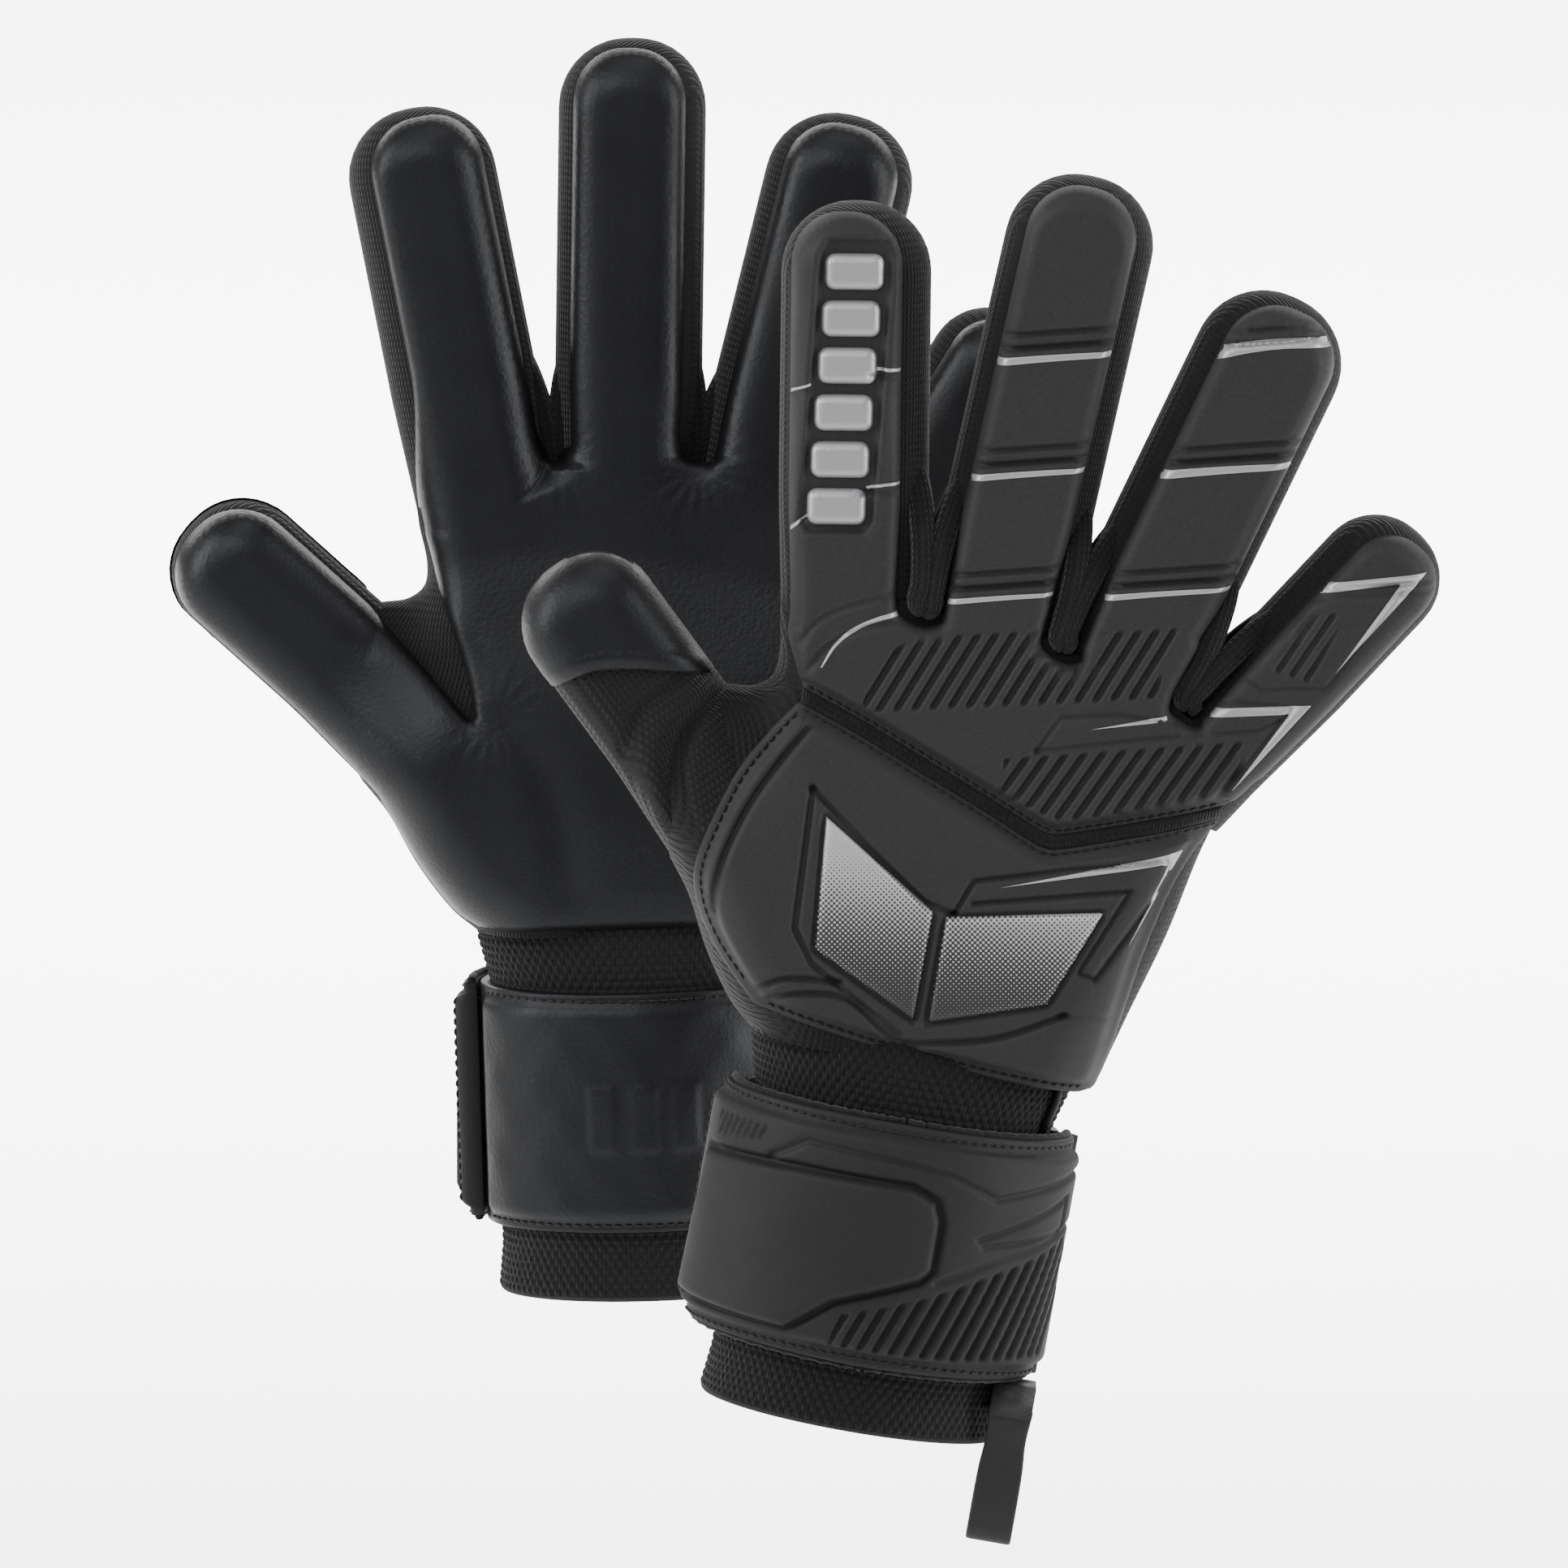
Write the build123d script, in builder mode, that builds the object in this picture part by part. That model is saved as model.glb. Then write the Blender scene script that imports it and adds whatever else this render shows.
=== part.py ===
"""A pair of goalkeeper gloves: latex palm, moulded backhand, knit gussets, cuff and wrist strap."""

import os
from dataclasses import dataclass
from math import cos, radians, sin, tan

from build123d import *

# All sizes are in mm and degrees. One glove is drawn upright: the origin is the middle of its
# hand opening, +Z runs up to the fingertips, +X to the little finger, +Y to the palm.

# How the pair stands
right_lean = 10.0
left_lean = -1.8
left_shift = -44.5
left_raise = 4.0
pair_spacing = 150.0

# Finger stalls
stall_half_depth = 14.0
shoulder_share = 0.58
palm_foam = 5.0
back_foam = 5.0
gusset_wall = 2.0
latex_inset = 1.0
back_pad_inset = 2.5
pad_round = 2.5
flex_groove_width = 1.6
flex_groove_depth = 1.8
flex_groove_pitch = 3.4
flex_groove_stations = (0.40, 0.72)

# The crease each stall folds at
hinge_depth = 6.0
crease_gap = 0.7
crease_spare = 2.0
crease_overlap = 1.0
finger_bend = 65.0
thumb_bend = 40.0

# Thumb
thumb_wrap = 0.70
thumb_passage_depth = 14.0

# Hand between the wrist and the finger stalls; heights on it are taken from the wrist seam
wrist_height = 83.0
hand_wall = 2.2
lining_thickness = 1.0
finger_passage_depth = 8.0
wrist_passage_height = 9.0
web_bottom = 47.0
web_side = -24.0
palm_side_profile = ((0, 24.0), (27, 27.0), (57, 23.0), (82, 16.0), (95, 14.0), (105, 14.0))
back_side_profile = ((0, -24.0), (27, -24.0), (57, -20.0), (82, -15.5), (95, -14.0), (105, -14.0))
thumb_side_outline = ((-36.0, 0.0), (-43.0, 3.0), (-50.0, 14.0), (-57.0, 27.0), (-63.0, 36.0))
web_outline = ((-46.0, 70.0), (-42.5, 76.0))
little_side_outline = ((58.5, 66.0), (50.5, 35.0), (40.0, 0.0))

# Backhand seams, with heights from the wrist seam
seam_low = (20.9, 54.0)
seam_thumb_side = (-70.0, 90.4)
seam_little_side = (80.0, 71.8)
stretch_band_height = 2.3
knuckle_rib_height = 1.0
knuckle_rib_width = 2.6
knuckle_rib_pitch = 7.5
knuckle_rib_slant = 12.0
knuckle_rib_drop = 3.0
knuckle_rib_count = 4
knuckle_rib_start = (-20.0, 73.5)

# Cuff
cuff_bottom = 0.0
cuff_mouth = (33.3, 25.5)
cuff_wrist = (32.4, 24.4)
cuff_top = (37.0, 23.0)
cuff_wrist_from = 10.0
cuff_flare_height = 11.0
cuff_wall = 3.0
slit_depth = 10.0
slit_width = 6.0
slit_position = -9.0
binding_thickness = 1.0

# Wrist strap
strap_bottom = 15.2
strap_drop = 12.2
palm_strap_thickness = 3.2
palm_strap_tongue = 14.0
strap_clearance = 0.6
tape_thickness = 1.0
tape_gap = 0.5
tape_margin = 5.0
back_strap_outer = (40.0, 32.3)
back_strap_shift = -1.3
free_end_overlap = 4.0
strap_end_gap = 0.4
strap_pad_height = 1.2
strap_pad_width = 34.0
strap_pad_margin = 8.0
strap_pad_centre = -12.0

# Pull loop
loop_width = 10.0
loop_position = 35.0
loop_depth = -14.8
loop_length = 30.0
loop_half_depth = 3.0
loop_band = 1.5
tab_bottom = 10.0
tab_top = 14.6
tab_depth = 13.0
tab_gap = 0.5

# Long enough to pass right through a glove
through = 160.0
depth_reach = 40.0

core_half_depth = stall_half_depth - palm_foam
back_core_depth = stall_half_depth - back_foam


@dataclass
class Stall:
    """A finger or thumb stall: where its crease is, the way it points and its size."""

    name: str
    base_x: float
    rise: float
    lean: float
    length: float
    knuckle_half_width: float
    half_width: float
    bend: float

    @property
    def base_z(self):
        """Height of the crease; rise is its height from the wrist seam."""
        return wrist_height + self.rise

    def plan(self):
        """Looks at the backhand: across the stall, then along it."""
        tilt = radians(self.lean)
        base = (self.base_x, 0, self.base_z)
        return Plane(origin=base, x_dir=(cos(tilt), 0, -sin(tilt)), z_dir=(0, -1, 0))

    def side(self):
        """Looks along the crease: along the stall, then towards the palm."""
        tilt = radians(self.lean)
        base = (self.base_x, 0, self.base_z)
        return Plane(origin=base, x_dir=(sin(tilt), 0, cos(tilt)), z_dir=(-cos(tilt), 0, sin(tilt)))

    def corner(self, side):
        """An end of the crease, on the thumb side (-1) or the little finger side (+1)."""
        tilt = radians(self.lean)
        reach = side * (self.knuckle_half_width + crease_overlap / 2)
        return (self.base_x + reach * cos(tilt), self.base_z - reach * sin(tilt))


fingers = (
    Stall("index", -30.5, 95.0, -9.3, 91.0, 15.6, 16.5, finger_bend),
    Stall("middle", 0.7, 95.0, 2.6, 104.3, 14.2, 16.8, finger_bend),
    Stall("ring", 29.2, 89.0, 15.5, 94.5, 13.6, 16.8, finger_bend),
    Stall("little", 53.5, 77.0, 33.0, 67.0, 12.0, 13.8, finger_bend),
)
thumb = Stall("thumb", -46.0, 43.0, -46.0, 71.0, 17.0, 15.5, thumb_bend)


def draw_stall(stall, inset, mode=Mode.ADD):
    """Outline of a stall: narrow at its crease, full width from the shoulder to a round tip."""
    knuckle = stall.knuckle_half_width - inset
    half = stall.half_width - inset
    top = stall.length - stall.half_width
    shoulder = shoulder_share * stall.length
    with BuildLine(Plane.XY) as outline:
        Polyline((half, top), (half, shoulder), (knuckle, 0), (-knuckle, 0), (-half, shoulder), (-half, top))
        ThreePointArc((-half, top), (0, top + half), (half, top))
    make_face(outline.edges(), mode=mode)


def keep_along(low, high):
    """Keeps the part of a stall's outline between two heights along it."""
    with Locations((0, (low + high) / 2)):
        Rectangle(2 * depth_reach, high - low, mode=Mode.INTERSECT)


def open_crease(stall, side, half_width, reach):
    """Opens a crease: a thin slot, and a wedge on the palm side that closes as the stall bends."""
    rise = (depth_reach - hinge_depth) * tan(radians(stall.bend / 2 + crease_spare))
    edge = side * crease_gap / 2
    with BuildSketch(stall.side()) as area:
        with BuildLine(Plane.XY) as outline:
            Polyline(
                (-side * reach, -depth_reach),
                (edge, -depth_reach),
                (edge, hinge_depth),
                (edge + side * rise, depth_reach),
                (-side * reach, depth_reach),
                close=True,
            )
        make_face(outline.edges())
    extrude(area.sketch, amount=half_width, both=True, mode=Mode.SUBTRACT)


def cut_flex_grooves(stall):
    """Pairs of shallow grooves across the backhand pad, where the finger joints bend."""
    for share in flex_groove_stations:
        for step in (-0.5, 0.5):
            height = share * stall.length + step * flex_groove_pitch
            with BuildSketch(stall.side()) as area:
                with Locations((height, -stall_half_depth)):
                    Rectangle(flex_groove_width, 2 * flex_groove_depth)
            extrude(area.sketch, amount=stall.half_width, both=True, mode=Mode.SUBTRACT)


def stall_latex(stall):
    """The palm-side foam plate of a stall."""
    with BuildPart() as latex:
        with BuildSketch(stall.plan().offset(-stall_half_depth)) as area:
            draw_stall(stall, latex_inset)
        extrude(area.sketch, amount=palm_foam)
        fillet(latex.faces().sort_by(Axis.Y)[-1].edges(), radius=pad_round)
        open_crease(stall, 1, depth_reach, through)
    return latex.part


def stall_gusset(stall):
    """The knit wall round the edge of a stall, open at the crease."""
    with BuildPart() as gusset:
        with BuildSketch(stall.plan().offset(-core_half_depth)) as area:
            draw_stall(stall, 0)
            draw_stall(stall, gusset_wall, mode=Mode.SUBTRACT)
        extrude(area.sketch, amount=core_half_depth + back_core_depth)
        open_crease(stall, 1, depth_reach, through)
    return gusset.part


def stall_back_pad(stall):
    """The moulded pad on the back of a stall."""
    with BuildPart() as pad:
        with BuildSketch(stall.plan().offset(back_core_depth)) as area:
            draw_stall(stall, back_pad_inset)
        extrude(area.sketch, amount=back_foam)
        fillet(pad.faces().sort_by(Axis.Y)[0].edges(), radius=pad_round)
        cut_flex_grooves(stall)
        open_crease(stall, 1, depth_reach, through)
    return pad.part


def draw_hand():
    """Outline of the hand from the wrist seam up to the finger creases."""
    creases = [stall.corner(side) for stall in fingers for side in (-1, 1)]
    thumb_side = [(x, wrist_height + z) for x, z in thumb_side_outline + web_outline]
    little_side = [(x, wrist_height + z) for x, z in little_side_outline]
    with BuildLine(Plane.XY) as outline:
        Polyline(*thumb_side, *creases, *little_side, close=True)
    make_face(outline.edges())


def draw_layer(profile, low, high):
    """A layer of the hand seen from the side, between two depths in from the outer profile."""
    inward = -1 if profile[0][1] > 0 else 1
    near = [(y + inward * low, wrist_height + z) for z, y in profile]
    far = [(y + inward * high, wrist_height + z) for z, y in profile]
    with BuildLine(Plane.XY) as outline:
        Spline(*near)
        Spline(*far)
        Line(near[0], far[0])
        Line(near[-1], far[-1])
    make_face(outline.edges())


def cut_creases():
    """Trims the hand clear of every stall that folds against it."""
    for stall in (*fingers, thumb):
        open_crease(stall, -1, stall.knuckle_half_width + crease_overlap, through)


def shape_hand_layer(profile, low, high):
    """A layer of the hand, cut to the hand's outline."""
    with BuildSketch(Plane.YZ) as area:
        draw_layer(profile, low, high)
    extrude(area.sketch, amount=through, both=True)
    with BuildSketch(Plane.XZ) as area:
        draw_hand()
    extrude(area.sketch, amount=through, both=True, mode=Mode.INTERSECT)


def shape_hand_wall():
    """The wall between the palm and back layers, with the ways to the stalls and wrist left open."""
    palm_inside = [(y - palm_foam, wrist_height + z) for z, y in palm_side_profile]
    back_inside = [(y + back_foam, wrist_height + z) for z, y in back_side_profile]
    with BuildSketch(Plane.YZ) as area:
        with BuildLine(Plane.XY) as outline:
            Spline(*palm_inside)
            Spline(*back_inside)
            Line(palm_inside[0], back_inside[0])
            Line(palm_inside[-1], back_inside[-1])
        make_face(outline.edges())
    extrude(area.sketch, amount=through, both=True)
    with BuildSketch(Plane.XZ) as area:
        draw_hand()
        offset(amount=-hand_wall, kind=Kind.INTERSECTION, mode=Mode.SUBTRACT)
    extrude(area.sketch, amount=through, both=True, mode=Mode.INTERSECT)
    for stall in (*fingers, thumb):
        depth = thumb_passage_depth if stall is thumb else finger_passage_depth
        with BuildSketch(stall.plan()) as area:
            with Locations((0, -depth / 2)):
                Rectangle(2 * (stall.knuckle_half_width - hand_wall), 2 * depth)
        extrude(area.sketch, amount=through, both=True, mode=Mode.SUBTRACT)
    with BuildSketch(Plane.XZ) as area:
        with Locations((thumb_side_outline[0][0] / 2 + little_side_outline[-1][0] / 2, wrist_height)):
            Rectangle(
                little_side_outline[-1][0] - thumb_side_outline[0][0] - 2 * hand_wall,
                2 * wrist_passage_height,
            )
    extrude(area.sketch, amount=through, both=True, mode=Mode.SUBTRACT)
    cut_creases()


def draw_web_area(mode=Mode.ADD):
    """The area of the wall between the thumb and the index finger."""
    with BuildLine(Plane.XY) as outline:
        Polyline(
            (-through, wrist_height + web_bottom),
            (web_side, wrist_height + web_bottom),
            (web_side, 2 * through),
            (-through, 2 * through),
            close=True,
        )
    make_face(outline.edges(), mode=mode)


def seam(drop):
    """The V seam across the backhand, dropped by a distance."""
    return [(x, wrist_height + z - drop) for x, z in (seam_thumb_side, seam_low, seam_little_side)]


def keep_band(above, below):
    """Keeps the part of the backhand between two seam lines."""
    with BuildSketch(Plane.XZ) as area:
        with BuildLine(Plane.XY) as outline:
            Polyline(*above, *reversed(below), close=True)
        make_face(outline.edges())
    extrude(area.sketch, amount=through, both=True, mode=Mode.INTERSECT)


def shape_cuff():
    """The knit tube: a wide mouth, a straight wrist and a flare up to the hand."""
    heights = (cuff_bottom, cuff_wrist_from, wrist_height - cuff_flare_height, wrist_height)
    sizes = (cuff_mouth, cuff_wrist, cuff_wrist, cuff_top)
    for wall, mode in ((0, Mode.ADD), (cuff_wall, Mode.SUBTRACT)):
        for (low, high), (start, end) in zip(zip(heights, heights[1:]), zip(sizes, sizes[1:])):
            with BuildSketch(Plane.XY.offset(low)) as lower:
                Ellipse(start[0] - wall, start[1] - wall)
            with BuildSketch(Plane.XY.offset(high)) as upper:
                Ellipse(end[0] - wall, end[1] - wall)
            loft([lower.sketch, upper.sketch], ruled=True, mode=mode)


def draw_slit(inset):
    """The V slit at the top of the cuff, seen from the little finger side."""
    half = slit_width / 2 - inset
    bottom = wrist_height - slit_depth + 2 * inset
    with BuildLine(Plane.XY) as outline:
        Polyline(
            (slit_position - half, wrist_height + inset),
            (slit_position + half, wrist_height + inset),
            (slit_position, bottom),
            close=True,
        )
    make_face(outline.edges())


def draw_strap_ring(outer, inner, shift=0):
    """A ring of strap seen from above; the inside is always centred on the cuff."""
    with Locations((shift, 0)):
        Ellipse(*outer)
    Ellipse(*inner, mode=Mode.SUBTRACT)


def keep_arc(*corners):
    """Keeps the part of a strap ring inside a polygon."""
    with BuildLine(Plane.XY) as outline:
        Polyline(*corners, close=True)
    make_face(outline.edges(), mode=Mode.INTERSECT)


def grown(size, amount):
    """An ellipse's two radii, each made larger."""
    return (size[0] + amount, size[1] + amount)


strap_top = wrist_height - strap_drop
strap_height = strap_top - strap_bottom
palm_strap_outer = grown(cuff_wrist, palm_strap_thickness)
loop_tape_outer = grown(palm_strap_outer, tape_thickness)
hook_tape_inner = grown(loop_tape_outer, tape_gap)
hook_tape_outer = grown(hook_tape_inner, tape_thickness)
back_strap_inner = grown(cuff_wrist, strap_clearance)
pocket_end = -(palm_strap_tongue + 3 * strap_clearance)
tape_low_edge = strap_clearance - palm_strap_tongue

pieces = {}

for stall in fingers:
    pieces[f"{stall.name}_latex"] = stall_latex(stall)
    pieces[f"{stall.name}_gusset"] = stall_gusset(stall)
    pieces[f"{stall.name}_back_pad"] = stall_back_pad(stall)

wrap_height = thumb_wrap * thumb.length

# The thumb's latex covers its palm side and folds over the tip.
with BuildPart() as thumb_latex:
    with BuildSketch(thumb.plan().offset(-stall_half_depth)):
        draw_stall(thumb, latex_inset)
    extrude(amount=palm_foam)
    fillet(thumb_latex.faces().sort_by(Axis.Y)[-1].edges(), radius=pad_round)
    with BuildSketch(thumb.plan().offset(-core_half_depth)):
        draw_stall(thumb, 0)
        draw_stall(thumb, gusset_wall, mode=Mode.SUBTRACT)
        keep_along(wrap_height, thumb.length)
    extrude(amount=core_half_depth + back_core_depth)
    with BuildSketch(thumb.plan().offset(back_core_depth)):
        draw_stall(thumb, latex_inset)
        keep_along(wrap_height, thumb.length)
    extrude(amount=back_foam)
    open_crease(thumb, 1, depth_reach, through)
pieces["thumb_latex"] = thumb_latex.part

# The thumb's knit back runs down both sides to the latex.
with BuildPart() as thumb_knit:
    with BuildSketch(thumb.plan().offset(-core_half_depth)):
        draw_stall(thumb, 0)
        draw_stall(thumb, gusset_wall, mode=Mode.SUBTRACT)
        keep_along(0, wrap_height)
    extrude(amount=core_half_depth + back_core_depth)
    with BuildSketch(thumb.plan().offset(back_core_depth)):
        draw_stall(thumb, latex_inset)
        keep_along(0, wrap_height)
    extrude(amount=back_foam)
    open_crease(thumb, 1, depth_reach, through)
pieces["thumb_knit_back"] = thumb_knit.part

with BuildPart() as palm:
    shape_hand_layer(palm_side_profile, 0, palm_foam)
    cut_creases()
pieces["palm_latex"] = palm.part

# Lining sheets lie against the inside of the palm and of the backhand.
with BuildPart() as palm_lining:
    shape_hand_layer(palm_side_profile, palm_foam, palm_foam + lining_thickness)
    with BuildSketch(Plane.XZ):
        draw_hand()
        offset(amount=-hand_wall, kind=Kind.INTERSECTION, mode=Mode.REPLACE)
    extrude(amount=through, both=True, mode=Mode.INTERSECT)
    cut_creases()

with BuildPart() as hand_lining:
    shape_hand_layer(back_side_profile, back_foam, back_foam + lining_thickness)
    with BuildSketch(Plane.XZ):
        draw_hand()
        offset(amount=-hand_wall, kind=Kind.INTERSECTION, mode=Mode.REPLACE)
    extrude(amount=through, both=True, mode=Mode.INTERSECT)
    cut_creases()
    add(palm_lining.part)
pieces["hand_lining"] = hand_lining.part

# The backhand is three pieces side by side: knuckles, a stretch band along the seam, and a panel.
with BuildPart() as knuckles:
    shape_hand_layer(back_side_profile, 0, back_foam)
    keep_band([(-through, 2 * through), (through, 2 * through)], seam(0))
    cut_creases()

with BuildPart() as knuckle_ribs:
    shape_hand_layer(back_side_profile, -knuckle_rib_height, back_foam / 2)
    with BuildSketch(Plane.XZ):
        for index in range(knuckle_rib_count):
            foot = knuckle_rib_start[0] + index * knuckle_rib_pitch
            height = wrist_height + knuckle_rib_start[1] - index * knuckle_rib_drop
            with BuildLine():
                Polyline(
                    (foot, height),
                    (foot + knuckle_rib_width, height),
                    (foot + knuckle_rib_width + knuckle_rib_slant, height + knuckle_rib_slant),
                    (foot + knuckle_rib_slant, height + knuckle_rib_slant),
                    close=True,
                )
            make_face()
    extrude(amount=through, both=True, mode=Mode.INTERSECT)

with BuildPart() as knuckle_panel:
    add(knuckles.part)
    add(knuckle_ribs.part)
pieces["knuckle_panel"] = knuckle_panel.part

with BuildPart() as stretch_band:
    shape_hand_layer(back_side_profile, 0, back_foam)
    keep_band(seam(0), seam(stretch_band_height))
    cut_creases()
pieces["stretch_band"] = stretch_band.part

with BuildPart() as backhand_panel:
    shape_hand_layer(back_side_profile, 0, back_foam)
    keep_band(seam(stretch_band_height), [(-through, 0), (through, 0)])
    cut_creases()
pieces["backhand_panel"] = backhand_panel.part

with BuildPart() as side_gusset:
    shape_hand_wall()
    with BuildSketch(Plane.XZ):
        draw_web_area()
    extrude(amount=through, both=True, mode=Mode.SUBTRACT)
pieces["side_gusset"] = side_gusset.part

with BuildPart() as thumb_web:
    shape_hand_wall()
    with BuildSketch(Plane.XZ):
        draw_web_area()
    extrude(amount=through, both=True, mode=Mode.INTERSECT)
pieces["thumb_web"] = thumb_web.part

with BuildPart() as cuff:
    shape_cuff()
    with BuildSketch(Plane.YZ):
        draw_slit(0)
    extrude(amount=through, mode=Mode.SUBTRACT)
pieces["cuff"] = cuff.part

with BuildPart() as slit_binding:
    shape_cuff()
    with BuildSketch(Plane.YZ):
        draw_slit(0)
    extrude(amount=through, mode=Mode.INTERSECT)
    with BuildSketch(Plane.YZ):
        draw_slit(binding_thickness)
    extrude(amount=through, mode=Mode.SUBTRACT)
pieces["cuff_slit_binding"] = slit_binding.part

# The palm half of the strap is sewn to the cuff and ends in a tongue under the free end.
with BuildPart() as palm_strap:
    with BuildSketch(Plane.XY.offset(strap_bottom)):
        draw_strap_ring(palm_strap_outer, cuff_wrist)
        keep_arc(
            (through, strap_end_gap),
            (through, through),
            (-through, through),
            (-through, -palm_strap_tongue),
            (-cuff_wrist[0] / 2, -palm_strap_tongue),
            (0, strap_end_gap),
        )
    extrude(amount=strap_height)
pieces["palm_strap"] = palm_strap.part

with BuildPart() as loop_tape:
    with BuildSketch(Plane.XY.offset(strap_bottom + tape_margin)):
        draw_strap_ring(loop_tape_outer, palm_strap_outer)
        keep_arc((-through, tape_low_edge), (0, tape_low_edge), (0, 0), (-through, 0))
    extrude(amount=strap_height - 2 * tape_margin)
pieces["strap_loop_tape"] = loop_tape.part

# The moulded back half hinges at the little finger side and closes over the tongue.
with BuildPart() as back_strap:
    with BuildSketch(Plane.XY.offset(strap_bottom)):
        draw_strap_ring(back_strap_outer, back_strap_inner, back_strap_shift)
        keep_arc(
            (through, -strap_end_gap),
            (0, -strap_end_gap),
            (0, free_end_overlap),
            (-through, free_end_overlap),
            (-through, -through),
            (through, -through),
        )
    extrude(amount=strap_height)
    with BuildSketch(Plane.XY.offset(strap_bottom)):
        Ellipse(*hook_tape_outer)
        keep_arc((-through, pocket_end), (0, pocket_end), (0, through), (-through, through))
    extrude(amount=strap_height, mode=Mode.SUBTRACT)

with BuildPart() as strap_pad:
    with BuildSketch(Plane.XY.offset(strap_bottom + strap_pad_margin)):
        with Locations((back_strap_shift, 0)):
            Ellipse(*grown(back_strap_outer, strap_pad_height))
            Ellipse(*grown(back_strap_outer, -strap_pad_height), mode=Mode.SUBTRACT)
        keep_arc((through, -strap_clearance), (-through, -strap_clearance), (-through, -through), (through, -through))
    extrude(amount=strap_height - 2 * strap_pad_margin)
    with BuildSketch(Plane.XZ):
        with Locations((strap_pad_centre, (strap_bottom + strap_top) / 2)):
            RectangleRounded(strap_pad_width, strap_height - 2 * strap_pad_margin, strap_pad_margin / 2)
    extrude(amount=through, mode=Mode.INTERSECT)

with BuildPart() as padded_strap:
    add(back_strap.part)
    add(strap_pad.part)
pieces["back_strap"] = padded_strap.part

with BuildPart() as hook_tape:
    with BuildSketch(Plane.XY.offset(strap_bottom + tape_margin)):
        draw_strap_ring(hook_tape_outer, hook_tape_inner)
        keep_arc((-through, tape_low_edge), (0, tape_low_edge), (0, 0), (-through, 0))
    extrude(amount=strap_height - 2 * tape_margin)
pieces["strap_hook_tape"] = hook_tape.part

# A folded band hangs from a tab under the strap, for pulling the glove on.
loop_plane = Plane.YZ.offset(loop_position - loop_width / 2)
pivot_height = tab_bottom - tab_gap - loop_half_depth

with BuildPart() as pull_tab:
    with BuildSketch(Plane.XY.offset(tab_bottom)):
        with Locations((loop_position, loop_depth + tab_depth / 2 - loop_half_depth)):
            Rectangle(loop_width - 2 * binding_thickness, tab_depth)
        Ellipse(*cuff_wrist, mode=Mode.SUBTRACT)
    extrude(amount=tab_top - tab_bottom)
pieces["pull_loop_tab"] = pull_tab.part

with BuildPart() as pull_loop:
    with BuildSketch(loop_plane):
        with Locations((loop_depth, pivot_height + loop_half_depth - loop_length / 2)):
            SlotOverall(loop_length, 2 * loop_half_depth, rotation=90)
            SlotOverall(
                loop_length - 2 * loop_band, 2 * (loop_half_depth - loop_band), rotation=90, mode=Mode.SUBTRACT
            )
    extrude(amount=loop_width)
pieces["pull_loop"] = pull_loop.part

right_tilt = radians(right_lean)
left_tilt = radians(left_lean)
right_frame = Plane(
    origin=(0, 0, 0),
    x_dir=(cos(right_tilt), 0, -sin(right_tilt)),
    z_dir=(sin(right_tilt), 0, cos(right_tilt)),
)
left_frame = Plane(
    origin=(left_shift, pair_spacing, left_raise),
    x_dir=(cos(left_tilt), 0, -sin(left_tilt)),
    z_dir=(sin(left_tilt), 0, cos(left_tilt)),
)

os.makedirs("parts", exist_ok=True)
for name, piece in pieces.items():
    right = right_frame.from_local_coords(piece)
    right.label = f"right_{name}"
    export_step(right, f"parts/right_{name}.step")
    left = left_frame.from_local_coords(piece.mirror(Plane.XZ))
    left.label = f"left_{name}"
    export_step(left, f"parts/left_{name}.step")
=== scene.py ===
"""Looks of a pair of goalkeeper gloves. Shapes are drawn in mm in one glove's own frame, upright:
+X to the little finger, +Z up the fingers, +Y to the palm; then set in place for each hand."""

import math

import bpy
import numpy as np
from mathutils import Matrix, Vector
from mathutils.geometry import delaunay_2d_cdt


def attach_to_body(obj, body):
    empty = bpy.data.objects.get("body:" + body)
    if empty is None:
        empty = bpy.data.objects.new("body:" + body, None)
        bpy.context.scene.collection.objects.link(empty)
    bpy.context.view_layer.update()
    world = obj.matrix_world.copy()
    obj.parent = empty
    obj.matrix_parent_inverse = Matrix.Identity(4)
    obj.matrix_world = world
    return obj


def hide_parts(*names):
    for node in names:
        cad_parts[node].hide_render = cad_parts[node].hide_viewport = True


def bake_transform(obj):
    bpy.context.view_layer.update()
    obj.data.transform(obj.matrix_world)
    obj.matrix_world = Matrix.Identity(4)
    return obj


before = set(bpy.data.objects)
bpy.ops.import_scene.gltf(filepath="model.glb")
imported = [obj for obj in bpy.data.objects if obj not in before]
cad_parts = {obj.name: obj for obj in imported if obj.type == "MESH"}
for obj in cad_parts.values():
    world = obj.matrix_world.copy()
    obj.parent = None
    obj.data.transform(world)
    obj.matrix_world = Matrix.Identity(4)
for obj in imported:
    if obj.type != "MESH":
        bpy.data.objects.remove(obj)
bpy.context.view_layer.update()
FINE = 1.0

# ---------------------------------------------------------------- placing
HANDS = {
    "right": {"lean": 10.0, "at": (0.0, 0.0, 0.0), "palm": 1.0},
    "left": {"lean": -1.8, "at": (-44.5, 150.0, 4.0), "palm": -1.0},
}


def to_world(hand, points):
    """Glove millimetres to row metres."""
    h = HANDS[hand]
    t = math.radians(h["lean"])
    p = np.asarray(points, float).reshape(-1, 3)
    x = p[:, 0] * math.cos(t) + p[:, 2] * math.sin(t)
    z = -p[:, 0] * math.sin(t) + p[:, 2] * math.cos(t)
    return (np.stack([x, p[:, 1] * h["palm"], z], 1) + np.array(h["at"])) / 1000


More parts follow.
